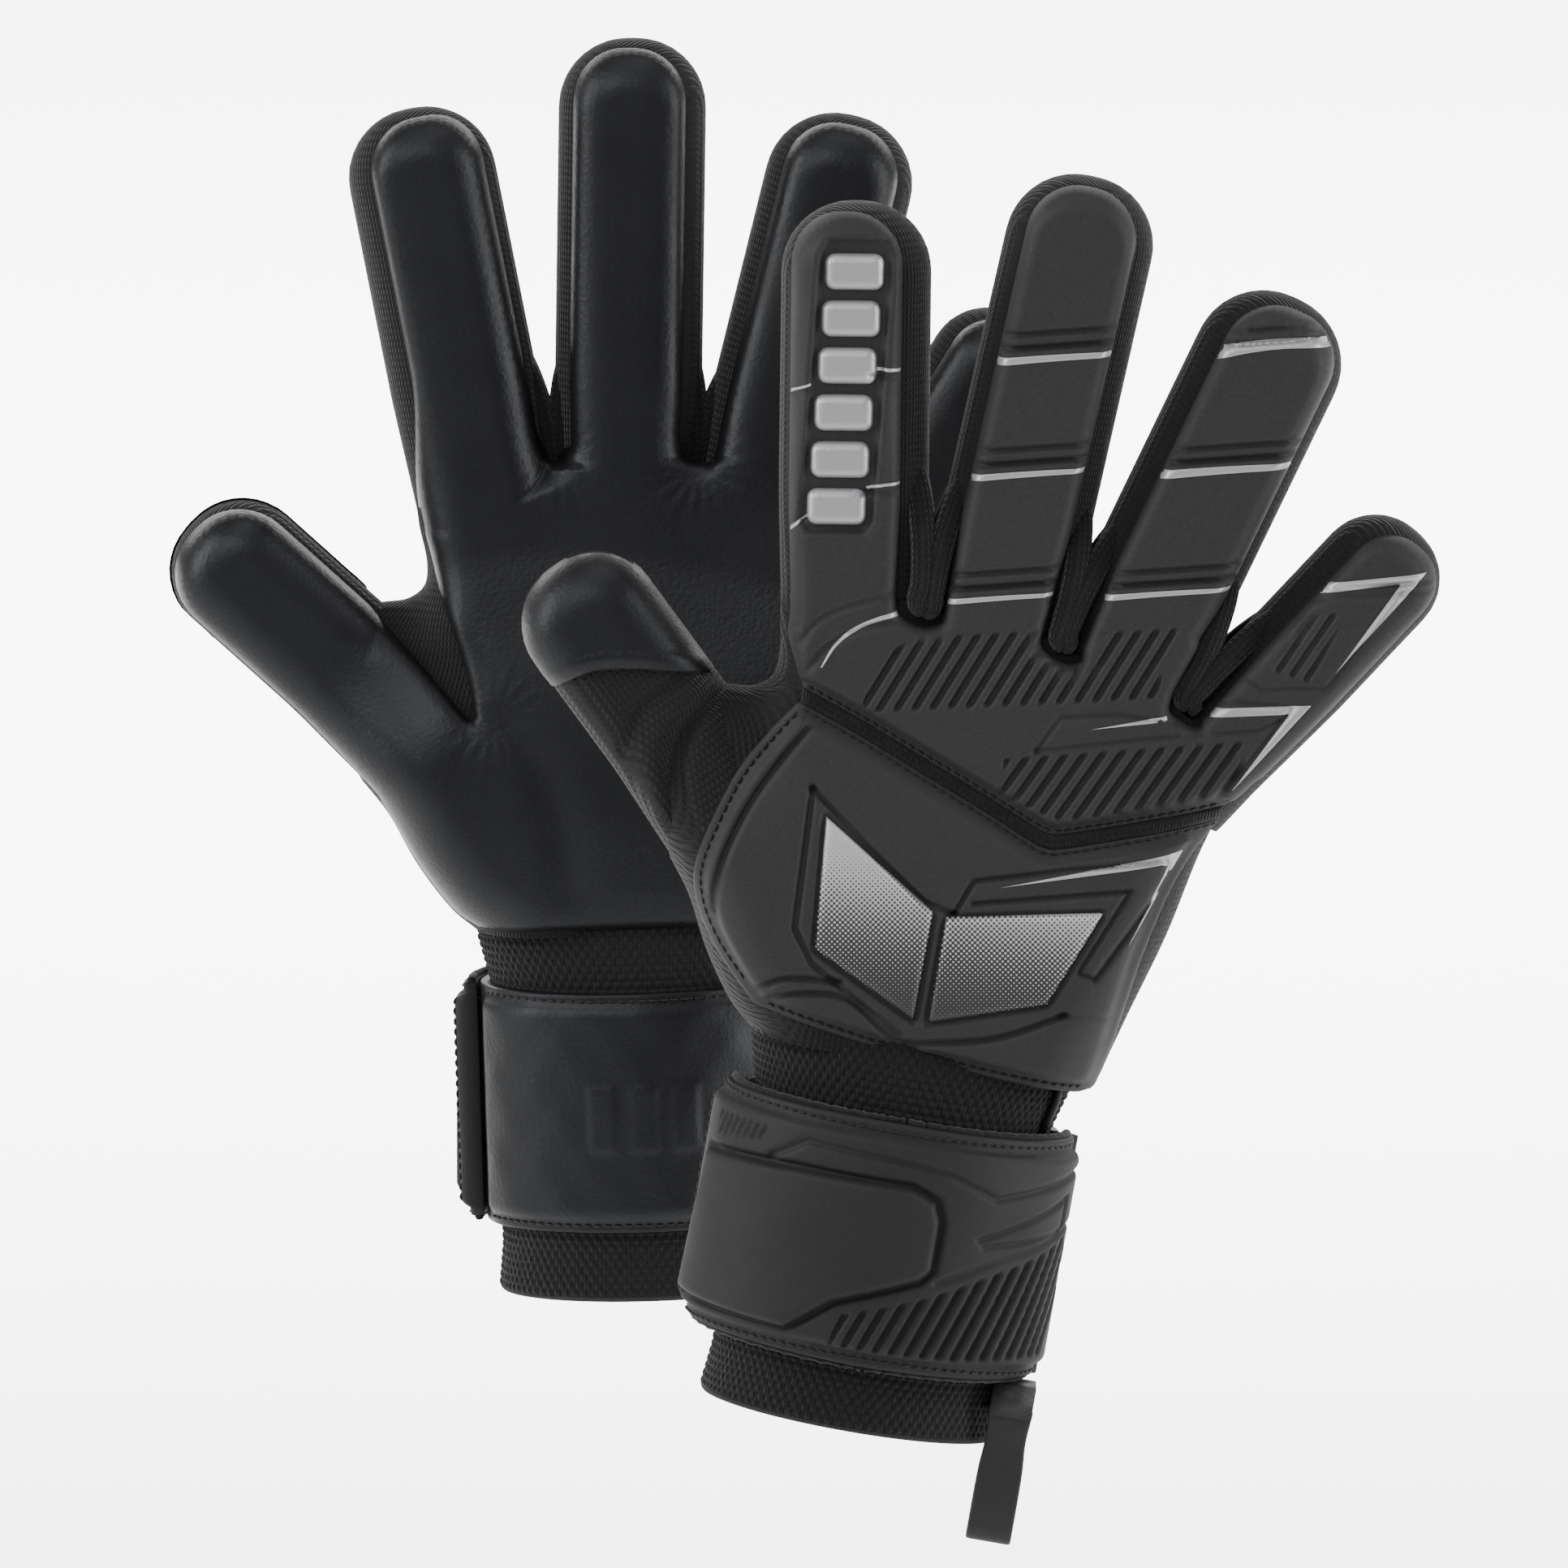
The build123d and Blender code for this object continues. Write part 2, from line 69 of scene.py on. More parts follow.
# ---------------------------------------------------------------- stalls
class Stall:
    def __init__(self, name, x, z, lean, length, half, base_half):
        self.name = name
        self.base = np.array([x, z])
        t = math.radians(lean)
        self.across = np.array([math.cos(t), -math.sin(t)])
        self.along = np.array([math.sin(t), math.cos(t)])
        self.length = length
        self.half = half
        self.base_half = base_half

    def point(self, u, w):
        return self.base + u * self.across + w * self.along

    def local(self, p):
        d = p - self.base
        return d @ self.across, d @ self.along

    def width(self, w):
        return self.base_half + (self.half - self.base_half) * min(max(w / 26, 0), 1)

    def outline(self, left, right, top, radius, foot_left, foot_right, shape=None):
        """Up the left side, round the tip and down the right side."""
        shape = shape or (lambda w: (1.0, 1.0))
        pts = []
        tip = self.length - top
        for w in np.linspace(foot_left, tip - radius, 16):
            pts.append(self.point(-(self.width(w) - left * shape(w)[0]), w))
        lo, hi = -(self.half - left), self.half - right
        for a in np.linspace(0, math.pi / 2, 10)[1:]:
            pts.append(self.point(lo + radius * (1 - math.cos(a)), tip - radius + radius * math.sin(a)))
        for a in np.linspace(math.pi / 2, 0, 10)[:-1]:
            pts.append(self.point(hi - radius * (1 - math.cos(a)), tip - radius + radius * math.sin(a)))
        for w in np.linspace(tip - radius, foot_right, 16):
            pts.append(self.point(self.width(w) - right * shape(w)[1], w))
        return np.array(pts)


INDEX = Stall("index", -30.5, 178.0, -9.3, 91.0, 16.6, 15.8)
MIDDLE = Stall("middle", 0.7, 178.0, 2.6, 104.3, 16.5, 15.2)
RING = Stall("ring", 29.2, 172.0, 15.5, 94.5, 16.6, 14.8)
LITTLE = Stall("little", 53.5, 160.0, 33.0, 67.0, 14.0, 13.0)
THUMB = Stall("thumb", -46.0, 126.0, -46.0, 71.0, 15.6, 17.0)
FINGERS = (INDEX, MIDDLE, RING, LITTLE)
BEND_REACH = 28.0


# ---------------------------------------------------------------- lines and areas
def smooth(points, step=1.0, closed=False):
    """A rounded line through the points."""
    p = np.array(points, float)
    n = len(p)
    out = []
    for i in range(n if closed else n - 1):
        a = p[(i - 1) % n] if closed or i > 0 else 2 * p[0] - p[1]
        b, c = p[i], p[(i + 1) % n]
        d = p[(i + 2) % n] if closed or i + 2 < n else 2 * p[-1] - p[-2]
        count = max(2, int(np.linalg.norm(c - b) / step))
        for t in np.arange(count) / count:
            out.append(
                0.5 * (2 * b + (c - a) * t + (2 * a - 5 * b + 4 * c - d) * t * t + (3 * b - a - 3 * c + d) * t**3)
            )
    if not closed:
        out.append(p[-1])
    return np.array(out)


def even(points, step, closed=True):
    """The same line in equal steps."""
    p = np.array(points, float)
    if closed:
        p = np.vstack([p, p[:1]])
    d = np.r_[0, np.cumsum(np.linalg.norm(np.diff(p, axis=0), axis=1))]
    keep = np.r_[True, np.diff(d) > 1e-6]
    p, d = p[keep], d[keep]
    count = max(8, int(round(d[-1] / step)))
    s = np.linspace(0, d[-1], count + 1)
    if closed:
        s = s[:-1]
    return np.stack([np.interp(s, d, p[:, k]) for k in range(2)], 1)


def patches(pts, size=7.0):
    """The points in square patches, each with its middle."""
    key = np.floor(pts / size).astype(int)
    code = key[:, 0] * 100003 + key[:, 1]
    order = np.argsort(code, kind="stable")
    starts = np.r_[0, np.flatnonzero(np.diff(code[order])) + 1, len(order)]
    for i, j in zip(starts, starts[1:]):
        ids = order[i:j]
        yield ids, (key[ids[0]] + 0.5) * size, size * 0.71


def gap(line, pts, closed=True):
    """Distance from points to a line."""
    line = np.asarray(line, float)
    a = line if closed else line[:-1]
    b = np.roll(line, -1, 0) if closed else line[1:]
    v = b - a
    vv = np.maximum((v * v).sum(1), 1e-12)

    def squared(q, a, v, vv):
        q = q[:, None, :] - a[None]
        t = np.clip((q * v[None]).sum(2) / vv, 0, 1)
        r = q - t[..., None] * v[None]
        return (r * r).sum(2)

    out = np.empty(len(pts))
    for ids, middle, reach in patches(pts):
        far = np.sqrt(squared(middle[None], a, v, vv)[0])
        near = far <= far.min() + 2 * reach
        out[ids] = np.sqrt(squared(pts[ids], a[near], v[near], vv[near]).min(1))
    return out


def within(poly, pts):
    """True for points inside a closed line."""
    a, b = poly, np.roll(poly, -1, 0)
    out = np.zeros(len(pts), bool)
    for ids, middle, reach in patches(pts):
        span = np.minimum(a[:, 1], b[:, 1]) <= middle[1] + reach
        span &= np.maximum(a[:, 1], b[:, 1]) >= middle[1] - reach
        if not span.any():
            continue
        c, d = a[span], b[span]
        x, z = pts[ids, 0][:, None], pts[ids, 1][:, None]
        cross = (c[None, :, 1] > z) != (d[None, :, 1] > z)
        dz = np.where(np.abs(d[:, 1] - c[:, 1]) < 1e-12, 1e-12, d[:, 1] - c[:, 1])
        xi = c[None, :, 0] + (z - c[None, :, 1]) * ((d[:, 0] - c[:, 0]) / dz)[None]
        out[ids] = (cross & (x < xi)).sum(1) % 2 == 1
    return out


def depth(poly, pts):
    """Distance in from a closed line, negative outside."""
    d = gap(poly, pts)
    return np.where(within(poly, pts), d, -d)


def ease(t):
    t = np.clip(t, 0, 1)
    return t * t * (3 - 2 * t)


def dome(t):
    """A quarter round: 0 at an edge, rising steeply, 1 from t = 1."""
    return np.sqrt(1 - (1 - np.clip(t, 0, 1)) ** 2)


EDGE_ROWS = (0.08, 0.3, 0.7, 1.3, 2.1, 3.2)


def fill(outline, step, rows=EDGE_ROWS):
    """Points and triangles over an area, with close rows along its edge."""
    step = step * FINE
    outline = even(outline, step)
    if ((outline[:, 0] * np.roll(outline[:, 1], -1)) - (outline[:, 1] * np.roll(outline[:, 0], -1))).sum() < 0:
        outline = outline[::-1]
    t = np.roll(outline, -1, 0) - np.roll(outline, 1, 0)
    t /= np.maximum(np.linalg.norm(t, axis=1)[:, None], 1e-9)
    inward = np.stack([-t[:, 1], t[:, 0]], 1)
    pts = [outline]
    for r in rows:
        p = outline + inward * r
        pts.append(p[depth(outline, p) > 0.93 * r])
    lo, hi = outline.min(0), outline.max(0)
    nx, nz = int((hi[0] - lo[0]) / step) + 2, int((hi[1] - lo[1]) / (step * 0.866)) + 2
    gx, gz = np.meshgrid(np.arange(nx), np.arange(nz))
    g = np.stack([lo[0] + (gx + 0.5 * (gz % 2)) * step, lo[1] + gz * step * 0.866], -1).reshape(-1, 2)
    last = rows[-1] if rows else 0
    pts.append(g[depth(outline, g) > last + 0.55 * step])
    pts = np.vstack(pts)
    n = len(outline)
    made = delaunay_2d_cdt([Vector(p) for p in pts], [], [list(range(n))], 1, 1e-5)
    verts = np.array([tuple(v) for v in made[0]])
    tris = np.array([f for f in made[2] if len(f) == 3], int)
    a, b, c = (verts[tris[:, k]] for k in range(3))
    turn = (b[:, 0] - a[:, 0]) * (c[:, 1] - a[:, 1]) - (b[:, 1] - a[:, 1]) * (c[:, 0] - a[:, 0])
    tris[turn < 0] = tris[turn < 0][:, ::-1]
    return verts, tris[np.abs(turn) > 1e-9]


def rim(tris):
    """The edges that only one triangle has, in order of that triangle."""
    e = np.vstack([tris[:, [0, 1]], tris[:, [1, 2]], tris[:, [2, 0]]])
    key = np.sort(e, 1)
    _, first, count = np.unique(key, axis=0, return_index=True, return_counts=True)
    return e[first[count == 1]]


def two_layers(tris, count):
    """The triangles of a sheet, of its copy count points later, and of the wall between their edges."""
    e = rim(tris)
    wall = [np.c_[e[:, 1], e[:, 0], e[:, 0] + count], np.c_[e[:, 1], e[:, 0] + count, e[:, 1] + count]]
    return np.vstack([tris, tris[:, ::-1] + count, *wall])


# ---------------------------------------------------------------- meshes
UV_UNIT = 100.0
MATERIALS = {}
ROOT = bpy.context.scene.collection


def normals_of(verts, tris):
    n = np.cross(verts[tris[:, 1]] - verts[tris[:, 0]], verts[tris[:, 2]] - verts[tris[:, 0]])
    out = np.zeros_like(verts)
    for k in range(3):
        np.add.at(out, tris[:, k], n)
    return out / np.maximum(np.linalg.norm(out, axis=1)[:, None], 1e-12)


def add_piece(name, verts, tris, material, uv=None, normals=None, hands=("right", "left")):
    """The piece as one object for each hand. uv is in mm."""
    made = {}
    for hand in hands:
        mesh = bpy.data.meshes.new(f"{hand}_{name}")
        faces = tris if HANDS[hand]["palm"] > 0 else tris[:, ::-1]
        mesh.from_pydata(to_world(hand, verts).tolist(), [], faces.tolist())
        mesh.polygons.foreach_set("use_smooth", np.ones(len(faces), bool))
        if uv is not None:
            layer = mesh.uv_layers.new(name="glove")
            layer.data.foreach_set("uv", (uv[faces.reshape(-1)] / UV_UNIT).astype(np.float32).reshape(-1))
        mesh.materials.append(MATERIALS[material])
        mesh.validate()
        mesh.update()
        if normals is not None:
            turned = to_world(hand, normals) - to_world(hand, np.zeros((1, 3)))
            turned /= np.maximum(np.linalg.norm(turned, axis=1)[:, None], 1e-12)
            if len(turned) == len(mesh.vertices):
                mesh.normals_split_custom_set_from_vertices(turned.tolist())
        obj = bpy.data.objects.new(f"{hand}_{name}", mesh)
        ROOT.objects.link(obj)
        made[hand] = obj
    return made


def attach(made, body=None, stall=None, nodes=()):
    """Hangs each hand's piece on its body, or for a finger's or thumb's piece only bakes its placement into the mesh;
    hides the CAD parts it stands for.
    """
    for hand, obj in made.items():
        if stall is not None:
            start, end = (
                to_world(hand, [[*stall.point(0, w)[:1], 0, stall.point(0, w)[1]]])[0]
                for w in (0, BEND_REACH)
            )
            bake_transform(obj)
        else:
            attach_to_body(obj, f"{hand}_{body}")
        if nodes:
            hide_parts(*[f"{hand}_{n}" for n in nodes])
    return made


def join(parts):
    """Several pieces' points and triangles as one; each part is (points, triangles, uv or None)."""
    verts, tris, uvs, start = [], [], [], 0
    for v, t, uv in parts:
        verts.append(v)
        tris.append(t + start)
        uvs.append(uv if uv is not None else np.zeros((len(v), 2)))
        start += len(v)
    return np.vstack(verts), np.vstack(tris), np.vstack(uvs)


# ---------------------------------------------------------------- the hand's body
def table(z, rows):
    """The rows' value at each height, with their corners rounded off."""
    heights, values = zip(*rows)
    return np.mean([np.interp(z + shift, heights, values) for shift in np.linspace(-9, 9, 15)], 0)


BACK_DEPTH = ((80, 18.6), (100, 19.0), (120, 18.4), (140, 16.2), (160, 12.6), (176, 10.4), (190, 10.2))
PALM_DEPTH = ((80, 18.6), (95, 21.0), (112, 22.0), (135, 19.5), (160, 13.0), (176, 10.6), (190, 10.2))
THUMB_DEPTH = 10.6

HAND_SIDE = [(-36.5, 82), (-42, 87), (-49, 97), (-55, 108.5), (-60.5, 116)]
HAND_WEB = [(-65, 150), (-60.5, 155.6), (-54.5, 156.4), (-49.0, 157.0), (-45.2, 160.0), (-44.6, 166), (-46.0, 174.0)]
LITTLE_SIDE = [(64.5, 153.5), (59.0, 149.5), (55.0, 138), (50.8, 118), (45.5, 99), (41.0, 82)]
HAND_OUTLINE = np.vstack(
    [
        smooth(HAND_SIDE),
        [(-63, 124), (-65, 134), (-66, 143)],
        smooth(HAND_WEB),
        [INDEX.point(-15.6, 3), INDEX.point(15.0, 3), MIDDLE.point(-14, 3), MIDDLE.point(14, 3)],
        [RING.point(-13, 3), RING.point(13, 3), LITTLE.point(-11, 3), LITTLE.point(12, 3)],
        smooth(LITTLE_SIDE),
    ]
)
# The same, running on up past the fingers and down past the wrist, for rounding the sides only
HAND_SIDES = np.vstack(
    [
        [(-36.5, 40)],
        smooth(HAND_SIDE),
        [(-72, 130), (-74, 144)],
        smooth(
            [
                (-66.0, 153.0), (-60.5, 155.6), (-54.5, 156.4), (-49.0, 157.0), (-45.2, 160.0), (-44.8, 166),
                (-47.0, 175.0), (-52, 200)
            ]
        ),
        [(-52, 300), (110, 300), (100, 215)],
        smooth(LITTLE_SIDE),
        [(41, 40)],
    ]
)
# Each stall's own outline, running on down into the hand
TIP_ROUND, KNIT_FOOT, TUBE_FOOT, TUBE_END = 0.94, -12, -14, -60
TUBES = {
    s.name: np.vstack(
        [
            s.outline(0, 0, 0, s.half * TIP_ROUND, TUBE_FOOT, TUBE_FOOT),
            [s.point(s.base_half, TUBE_END), s.point(-s.base_half, TUBE_END)],
        ]
    )
    for s in (*FINGERS, THUMB)
}


# The hand's own silhouette gives way to the fingers' between these heights
KNUCKLES_LOW, KNUCKLES_HIGH = 172, 188
HAND_FADE, OUTSIDE = 30, -99
BODY_ROWS = (0.06, 0.25, 0.6, 1.2, 2.1, 3.4, 5.0)


def thumb_share(p):
    """1 where a point of the knit belongs to the thumb, 0 where it belongs to the hand."""
    u, w = THUMB.local(p)
    return ease((w + 4) / 34) * ease((26 - np.abs(u)) / 10)


def body_depth(p, palm):
    """How deep the knit body is at a point, towards the palm or the back, before pads."""
    rows = PALM_DEPTH if palm else BACK_DEPTH
    k = thumb_share(p)
    return table(p[:, 1], rows) * (1 - k) + THUMB_DEPTH * k


def edge_radius(p, palm=False):
    k = thumb_share(p)
    r = (10.5 if palm else 7.5) + (5.0 if palm else 8.0) * ease((170 - p[:, 1]) / 40)
    return r * (1 - k) + (11.5 if palm else 9.5) * k


def body_gap(p):
    """Distance in from the silhouette of hand, fingers and thumb together."""
    d = depth(HAND_SIDES, p) - HAND_FADE * ease((p[:, 1] - KNUCKLES_LOW) / (KNUCKLES_HIGH - KNUCKLES_LOW))
    d[p[:, 1] > KNUCKLES_HIGH] = OUTSIDE
    for outline in TUBES.values():
        d = np.maximum(d, depth(outline, p))
    return np.maximum(d, 0)


def body_skin(p, palm):
    return body_depth(p, palm) * dome(body_gap(p) / edge_radius(p, palm))


def weld(verts, tris):
    """Joins points that lie in the same place and drops the triangles that this leaves flat."""
    _, first, back = np.unique(np.round(verts, 4), axis=0, return_index=True, return_inverse=True)
    t = back.reshape(-1)[tris]
    keep = (t[:, 0] != t[:, 1]) & (t[:, 1] != t[:, 2]) & (t[:, 2] != t[:, 0])
    return verts[first], t[keep]


def body_mesh(outline, ruler, step=1.5, under=0.0, folds=None):
    """A closed body: the outline filled twice, domed to the back and to the palm."""
    p, t = fill(outline, step, BODY_ROWS)
    d = np.maximum(depth(ruler, p), 0)
    sink = under * thumb_share(p)
    back = -(body_depth(p, False) - sink) * dome(d / edge_radius(p))
    palm = (body_depth(p, True) - sink) * dome(d / edge_radius(p, True))
    if folds is not None:
        back -= folds(p) * ease(d / 4)
    v = np.vstack([np.c_[p[:, 0], back, p[:, 1]], np.c_[p[:, 0], palm, p[:, 1]]])
    return weld(v, two_layers(t, len(p)))


def stall_uv(stall, v):
    u, w = stall.local(v[:, [0, 2]])
    return np.stack([u + v[:, 1], w], 1)


def hand_uv(v):
    return np.stack([v[:, 0] + v[:, 1], v[:, 2]], 1)


# ---------------------------------------------------------------- materials
def shader(name, base, rough, metallic=0.0, sheen=0.0, specular=0.5):
    mat = bpy.data.materials.new(name)
    mat.use_nodes = True
    bsdf = mat.node_tree.nodes["Principled BSDF"]
    bsdf.inputs["Base Color"].default_value = (*base, 1)
    bsdf.inputs["Roughness"].default_value = rough
    bsdf.inputs["Metallic"].default_value = metallic
    bsdf.inputs["Sheen Weight"].default_value = sheen
    bsdf.inputs["Specular IOR Level"].default_value = specular
    MATERIALS[name] = mat
    return mat, mat.node_tree, bsdf


def node(tree, kind, **values):
    made = tree.nodes.new(kind)
    for key, value in values.items():
        if key in made.inputs:
            made.inputs[key].default_value = value
        else:
            setattr(made, key, value)
    return made


def wire(tree, a, b):
    tree.links.new(a, b)


def noise(tree, scale, detail=2.0, vector=None, rough=0.5):
    made = node(tree, "ShaderNodeTexNoise", Scale=scale, Detail=detail, Roughness=rough)
    if vector is not None:
        wire(tree, vector, made.inputs["Vector"])
    return made


def remap(tree, value, low, high, to_low, to_high):
    made = node(tree, "ShaderNodeMapRange")
    for key, v in (("From Min", low), ("From Max", high), ("To Min", to_low), ("To Max", to_high)):
        made.inputs[key].default_value = v
    wire(tree, value, made.inputs["Value"])
    return made.outputs["Result"]


def bump(tree, bsdf, height, distance, strength=1.0, after=None):
    made = node(tree, "ShaderNodeBump", Strength=strength, Distance=distance)
    wire(tree, height, made.inputs["Height"])
    if after is not None:
        wire(tree, after, made.inputs["Normal"])
    wire(tree, made.outputs["Normal"], bsdf.inputs["Normal"])
    return made.outputs["Normal"]


def shade(tree, bsdf, value, base, *stops):
    """Base colour times a strength that follows a value; stops are (value, strength)."""
    tone = node(tree, "ShaderNodeValToRGB")
    for element, (_, strength) in zip(tone.color_ramp.elements, stops):
        element.color = (*(c * strength for c in base), 1)
    for i, (at, _) in enumerate(stops):
        tone.color_ramp.elements[i].position = at
    wire(tree, value, tone.inputs["Fac"])
    wire(tree, tone.outputs["Color"], bsdf.inputs["Base Color"])


def make_latex():
    _, tree, bsdf = shader("latex", (0.0045, 0.0047, 0.0054), 0.44, specular=0.28)
    bsdf.inputs["Specular Tint"].default_value = (0.95, 0.97, 1.0, 1)
    co = node(tree, "ShaderNodeTexCoord").outputs["Object"]
    grain = noise(tree, 1500, 3, co)
    pores = node(tree, "ShaderNodeTexVoronoi", Scale=900)
    wire(tree, co, pores.inputs["Vector"])
    cloud = noise(tree, 60, 3, co)
    wire(tree, remap(tree, cloud.outputs["Fac"], 0.3, 0.7, 0.40, 0.50), bsdf.inputs["Roughness"])
    first = bump(tree, bsdf, pores.outputs["Distance"], 0.00010, 0.5)
    bump(tree, bsdf, grain.outputs["Fac"], 0.00012, 0.45, first)


def make_foam(name="foam", base=(0.0190, 0.0190, 0.0195)):
    _, tree, bsdf = shader(name, base, 0.62, specular=0.3)
    co = node(tree, "ShaderNodeTexCoord").outputs["Object"]
    grain = noise(tree, 2600, 3, co)
    cloud = noise(tree, 45, 3, co)
    wire(tree, remap(tree, cloud.outputs["Fac"], 0.3, 0.7, 0.60, 0.72), bsdf.inputs["Roughness"])
    shade(tree, bsdf, noise(tree, 1800, 2, co).outputs["Fac"], base, (0.3, 0.86), (0.7, 1.14))
    bump(tree, bsdf, grain.outputs["Fac"], 0.00012, 0.5)


def knit_height(tree, rib, stitch):
    """Small V stitches in columns, from the piece's mm map."""
    uv = node(tree, "ShaderNodeUVMap", uv_map="glove").outputs["UV"]
    split = node(tree, "ShaderNodeSeparateXYZ")
    wire(tree, uv, split.inputs["Vector"])

    def single(op, value, second=None):
        made = node(tree, "ShaderNodeMath", operation=op)
        wire(tree, value, made.inputs[0])
        if second is not None:
            if isinstance(second, float):
                made.inputs[1].default_value = second
            else:
                wire(tree, second, made.inputs[1])
        return made.outputs[0]

    column = single("MULTIPLY", split.outputs["X"], UV_UNIT / rib)
    across = single("ABSOLUTE", single("SUBTRACT", single("FRACT", column), 0.5))
    row = single("ADD", single("MULTIPLY", split.outputs["Y"], UV_UNIT / stitch), across)
    loop = single("ABSOLUTE", single("SUBTRACT", single("FRACT", row), 0.5))
    return single("ADD", single("MULTIPLY", loop, 0.9), single("MULTIPLY", across, -1.1))


def make_knit(name, base, rib, stitch, depth_m):
    _, tree, bsdf = shader(name, base, 0.85, sheen=0.12, specular=0.25)
    bsdf.inputs["Sheen Roughness"].default_value = 0.5
    height = knit_height(tree, rib, stitch)
    co = node(tree, "ShaderNodeTexCoord").outputs["Object"]
    fuzz = noise(tree, 3000, 2, co)
    first = bump(tree, bsdf, height, depth_m, 1.0)
    bump(tree, bsdf, fuzz.outputs["Fac"], 0.00008, 0.4, first)
    # Painted shade and highlight: the knit's base colour is darkened in the stitches' hollows and lightened on their
    # raised tops, following the stitch height.
    shade(tree, bsdf, remap(tree, height, -0.5, 0.4, 0.0, 1.0), base, (0.1, 0.5), (0.9, 1.6))


def make_silver():
    _, tree, bsdf = shader("silver", (0.39, 0.39, 0.405), 0.38, metallic=0.6)
    co = node(tree, "ShaderNodeTexCoord").outputs["Object"]
    grain = noise(tree, 2600, 2, co)
    wire(tree, remap(tree, grain.outputs["Fac"], 0.3, 0.7, 0.36, 0.52), bsdf.inputs["Roughness"])
    bump(tree, bsdf, grain.outputs["Fac"], 0.00010, 0.6)


DOT_PITCH = 0.86


def make_halftone():
    """Silver that breaks up into dots towards the foot of the badge."""
    _, tree, bsdf = shader("halftone", (0.5, 0.5, 0.515), 0.5, metallic=0.2)
    uv = node(tree, "ShaderNodeUVMap", uv_map="glove").outputs["UV"]
    dots = node(tree, "ShaderNodeMapping")
    dots.inputs["Scale"].default_value = (UV_UNIT / DOT_PITCH, UV_UNIT / DOT_PITCH, 1)
    dots.inputs["Rotation"].default_value = (0, 0, 0.6)
    wire(tree, uv, dots.inputs["Vector"])
    cells = node(tree, "ShaderNodeTexVoronoi", Scale=1.0, Randomness=0.0)
    cells.voronoi_dimensions = "2D"
    wire(tree, dots.outputs["Vector"], cells.inputs["Vector"])
    split = node(tree, "ShaderNodeSeparateXYZ")
    wire(tree, uv, split.inputs["Vector"])
    size = remap(tree, split.outputs["Y"], 0.95, 1.34, 0.05, 0.74)
    test = node(tree, "ShaderNodeMath", operation="LESS_THAN")
    wire(tree, cells.outputs["Distance"], test.inputs[0])
    wire(tree, size, test.inputs[1])
    mix = node(tree, "ShaderNodeMix", data_type="RGBA")
    wire(tree, test.outputs[0], mix.inputs["Factor"])
    mix.inputs[6].default_value = (0.017, 0.017, 0.0175, 1)
    mix.inputs[7].default_value = (0.43, 0.43, 0.445, 1)
    wire(tree, mix.outputs[2], bsdf.inputs["Base Color"])
    wire(tree, remap(tree, test.outputs[0], 0, 1, 0.0, 0.35), bsdf.inputs["Metallic"])
    co = node(tree, "ShaderNodeTexCoord").outputs["Object"]
    bump(tree, bsdf, noise(tree, 2600, 2, co).outputs["Fac"], 0.0001, 0.5)


def make_plain(name, base, rough, grain=1800, sheen=0.0):
    _, tree, bsdf = shader(name, base, rough, sheen=sheen, specular=0.35)
    co = node(tree, "ShaderNodeTexCoord").outputs["Object"]
    fine = noise(tree, grain, 3, co)
    wire(tree, remap(tree, fine.outputs["Fac"], 0.3, 0.7, rough - 0.08, rough + 0.08), bsdf.inputs["Roughness"])
    bump(tree, bsdf, fine.outputs["Fac"], 0.00015, 0.6)


make_latex()
make_foam()
make_foam("strap_foam", (0.0112, 0.0112, 0.0116))
make_knit("gusset", (0.0038, 0.0039, 0.0043), 1.25, 1.5, 0.00035)
make_knit("thumb_knit", (0.0045, 0.0046, 0.0050), 1.3, 1.6, 0.00045)
make_knit("cuff", (0.0040, 0.0041, 0.0045), 0.8, 0.9, 0.00015)
make_knit("elastic", (0.0035, 0.0035, 0.0038), 0.7, 4.0, 0.0003)
make_silver()
make_halftone()
make_plain("thread", (0.0060, 0.0060, 0.0064), 0.6)
make_plain("lining", (0.0050, 0.0050, 0.0055), 0.95, 900, 0.12)
make_plain("binding", (0.0060, 0.0060, 0.0065), 0.7)
make_plain("band", (0.0140, 0.0140, 0.0146), 0.5)


# ---------------------------------------------------------------- knit body
def knit_outline(stall):
    return stall.outline(0, 0, 0, stall.half * TIP_ROUND, KNIT_FOOT, KNIT_FOOT)


hand_verts, hand_tris = body_mesh(HAND_OUTLINE, HAND_SIDES, under=1.2)
attach(
    add_piece("hand_knit", hand_verts, hand_tris, "gusset", hand_uv(hand_verts)),
    "hand",
    nodes=("side_gusset", "thumb_web", "hand_lining"),
)
for stall in FINGERS:
    v, t = body_mesh(knit_outline(stall), TUBES[stall.name])
    attach(
        add_piece(f"{stall.name}_knit", v, t, "gusset", stall_uv(stall, v)),
        stall=stall,
        nodes=(f"{stall.name}_gusset",),
    )


def thumb_folds(p):
    """Soft folds in the knit between the thumb and the hand."""
    groove = smooth([(-54.0, 158.0), (-61.0, 149.0), (-63.0, 139.0), (-60.0, 127.0), (-55.5, 117.0)])
    ridge = smooth([(-60.0, 156.0), (-67.0, 147.0), (-68.5, 137.0), (-65.0, 125.0)])
    h = -1.9 * np.exp(-((gap(groove, p, closed=False) / 2.2) ** 2))
    h += 1.1 * np.exp(-((gap(ridge, p, closed=False) / 3.0) ** 2))
    h -= 0.9 * np.exp(-((gap(smooth([(-66.0, 157.0), (-73.0, 149.0), (-74.5, 139.0)]), p, closed=False) / 2.0) ** 2))
    return h


v, t = body_mesh(knit_outline(THUMB), TUBES["thumb"], step=1.1, folds=thumb_folds)
attach(
    add_piece("thumb_knit", v, t, "thumb_knit", stall_uv(THUMB, v)),
    stall=THUMB,
    nodes=("thumb_knit_back",),
)


# ---------------------------------------------------------------- pads
PAD_TALL = 4.3
SEWN_EDGE = 1.15


def pad_height(d, tall, radius):
    return tall * dome(d / radius)


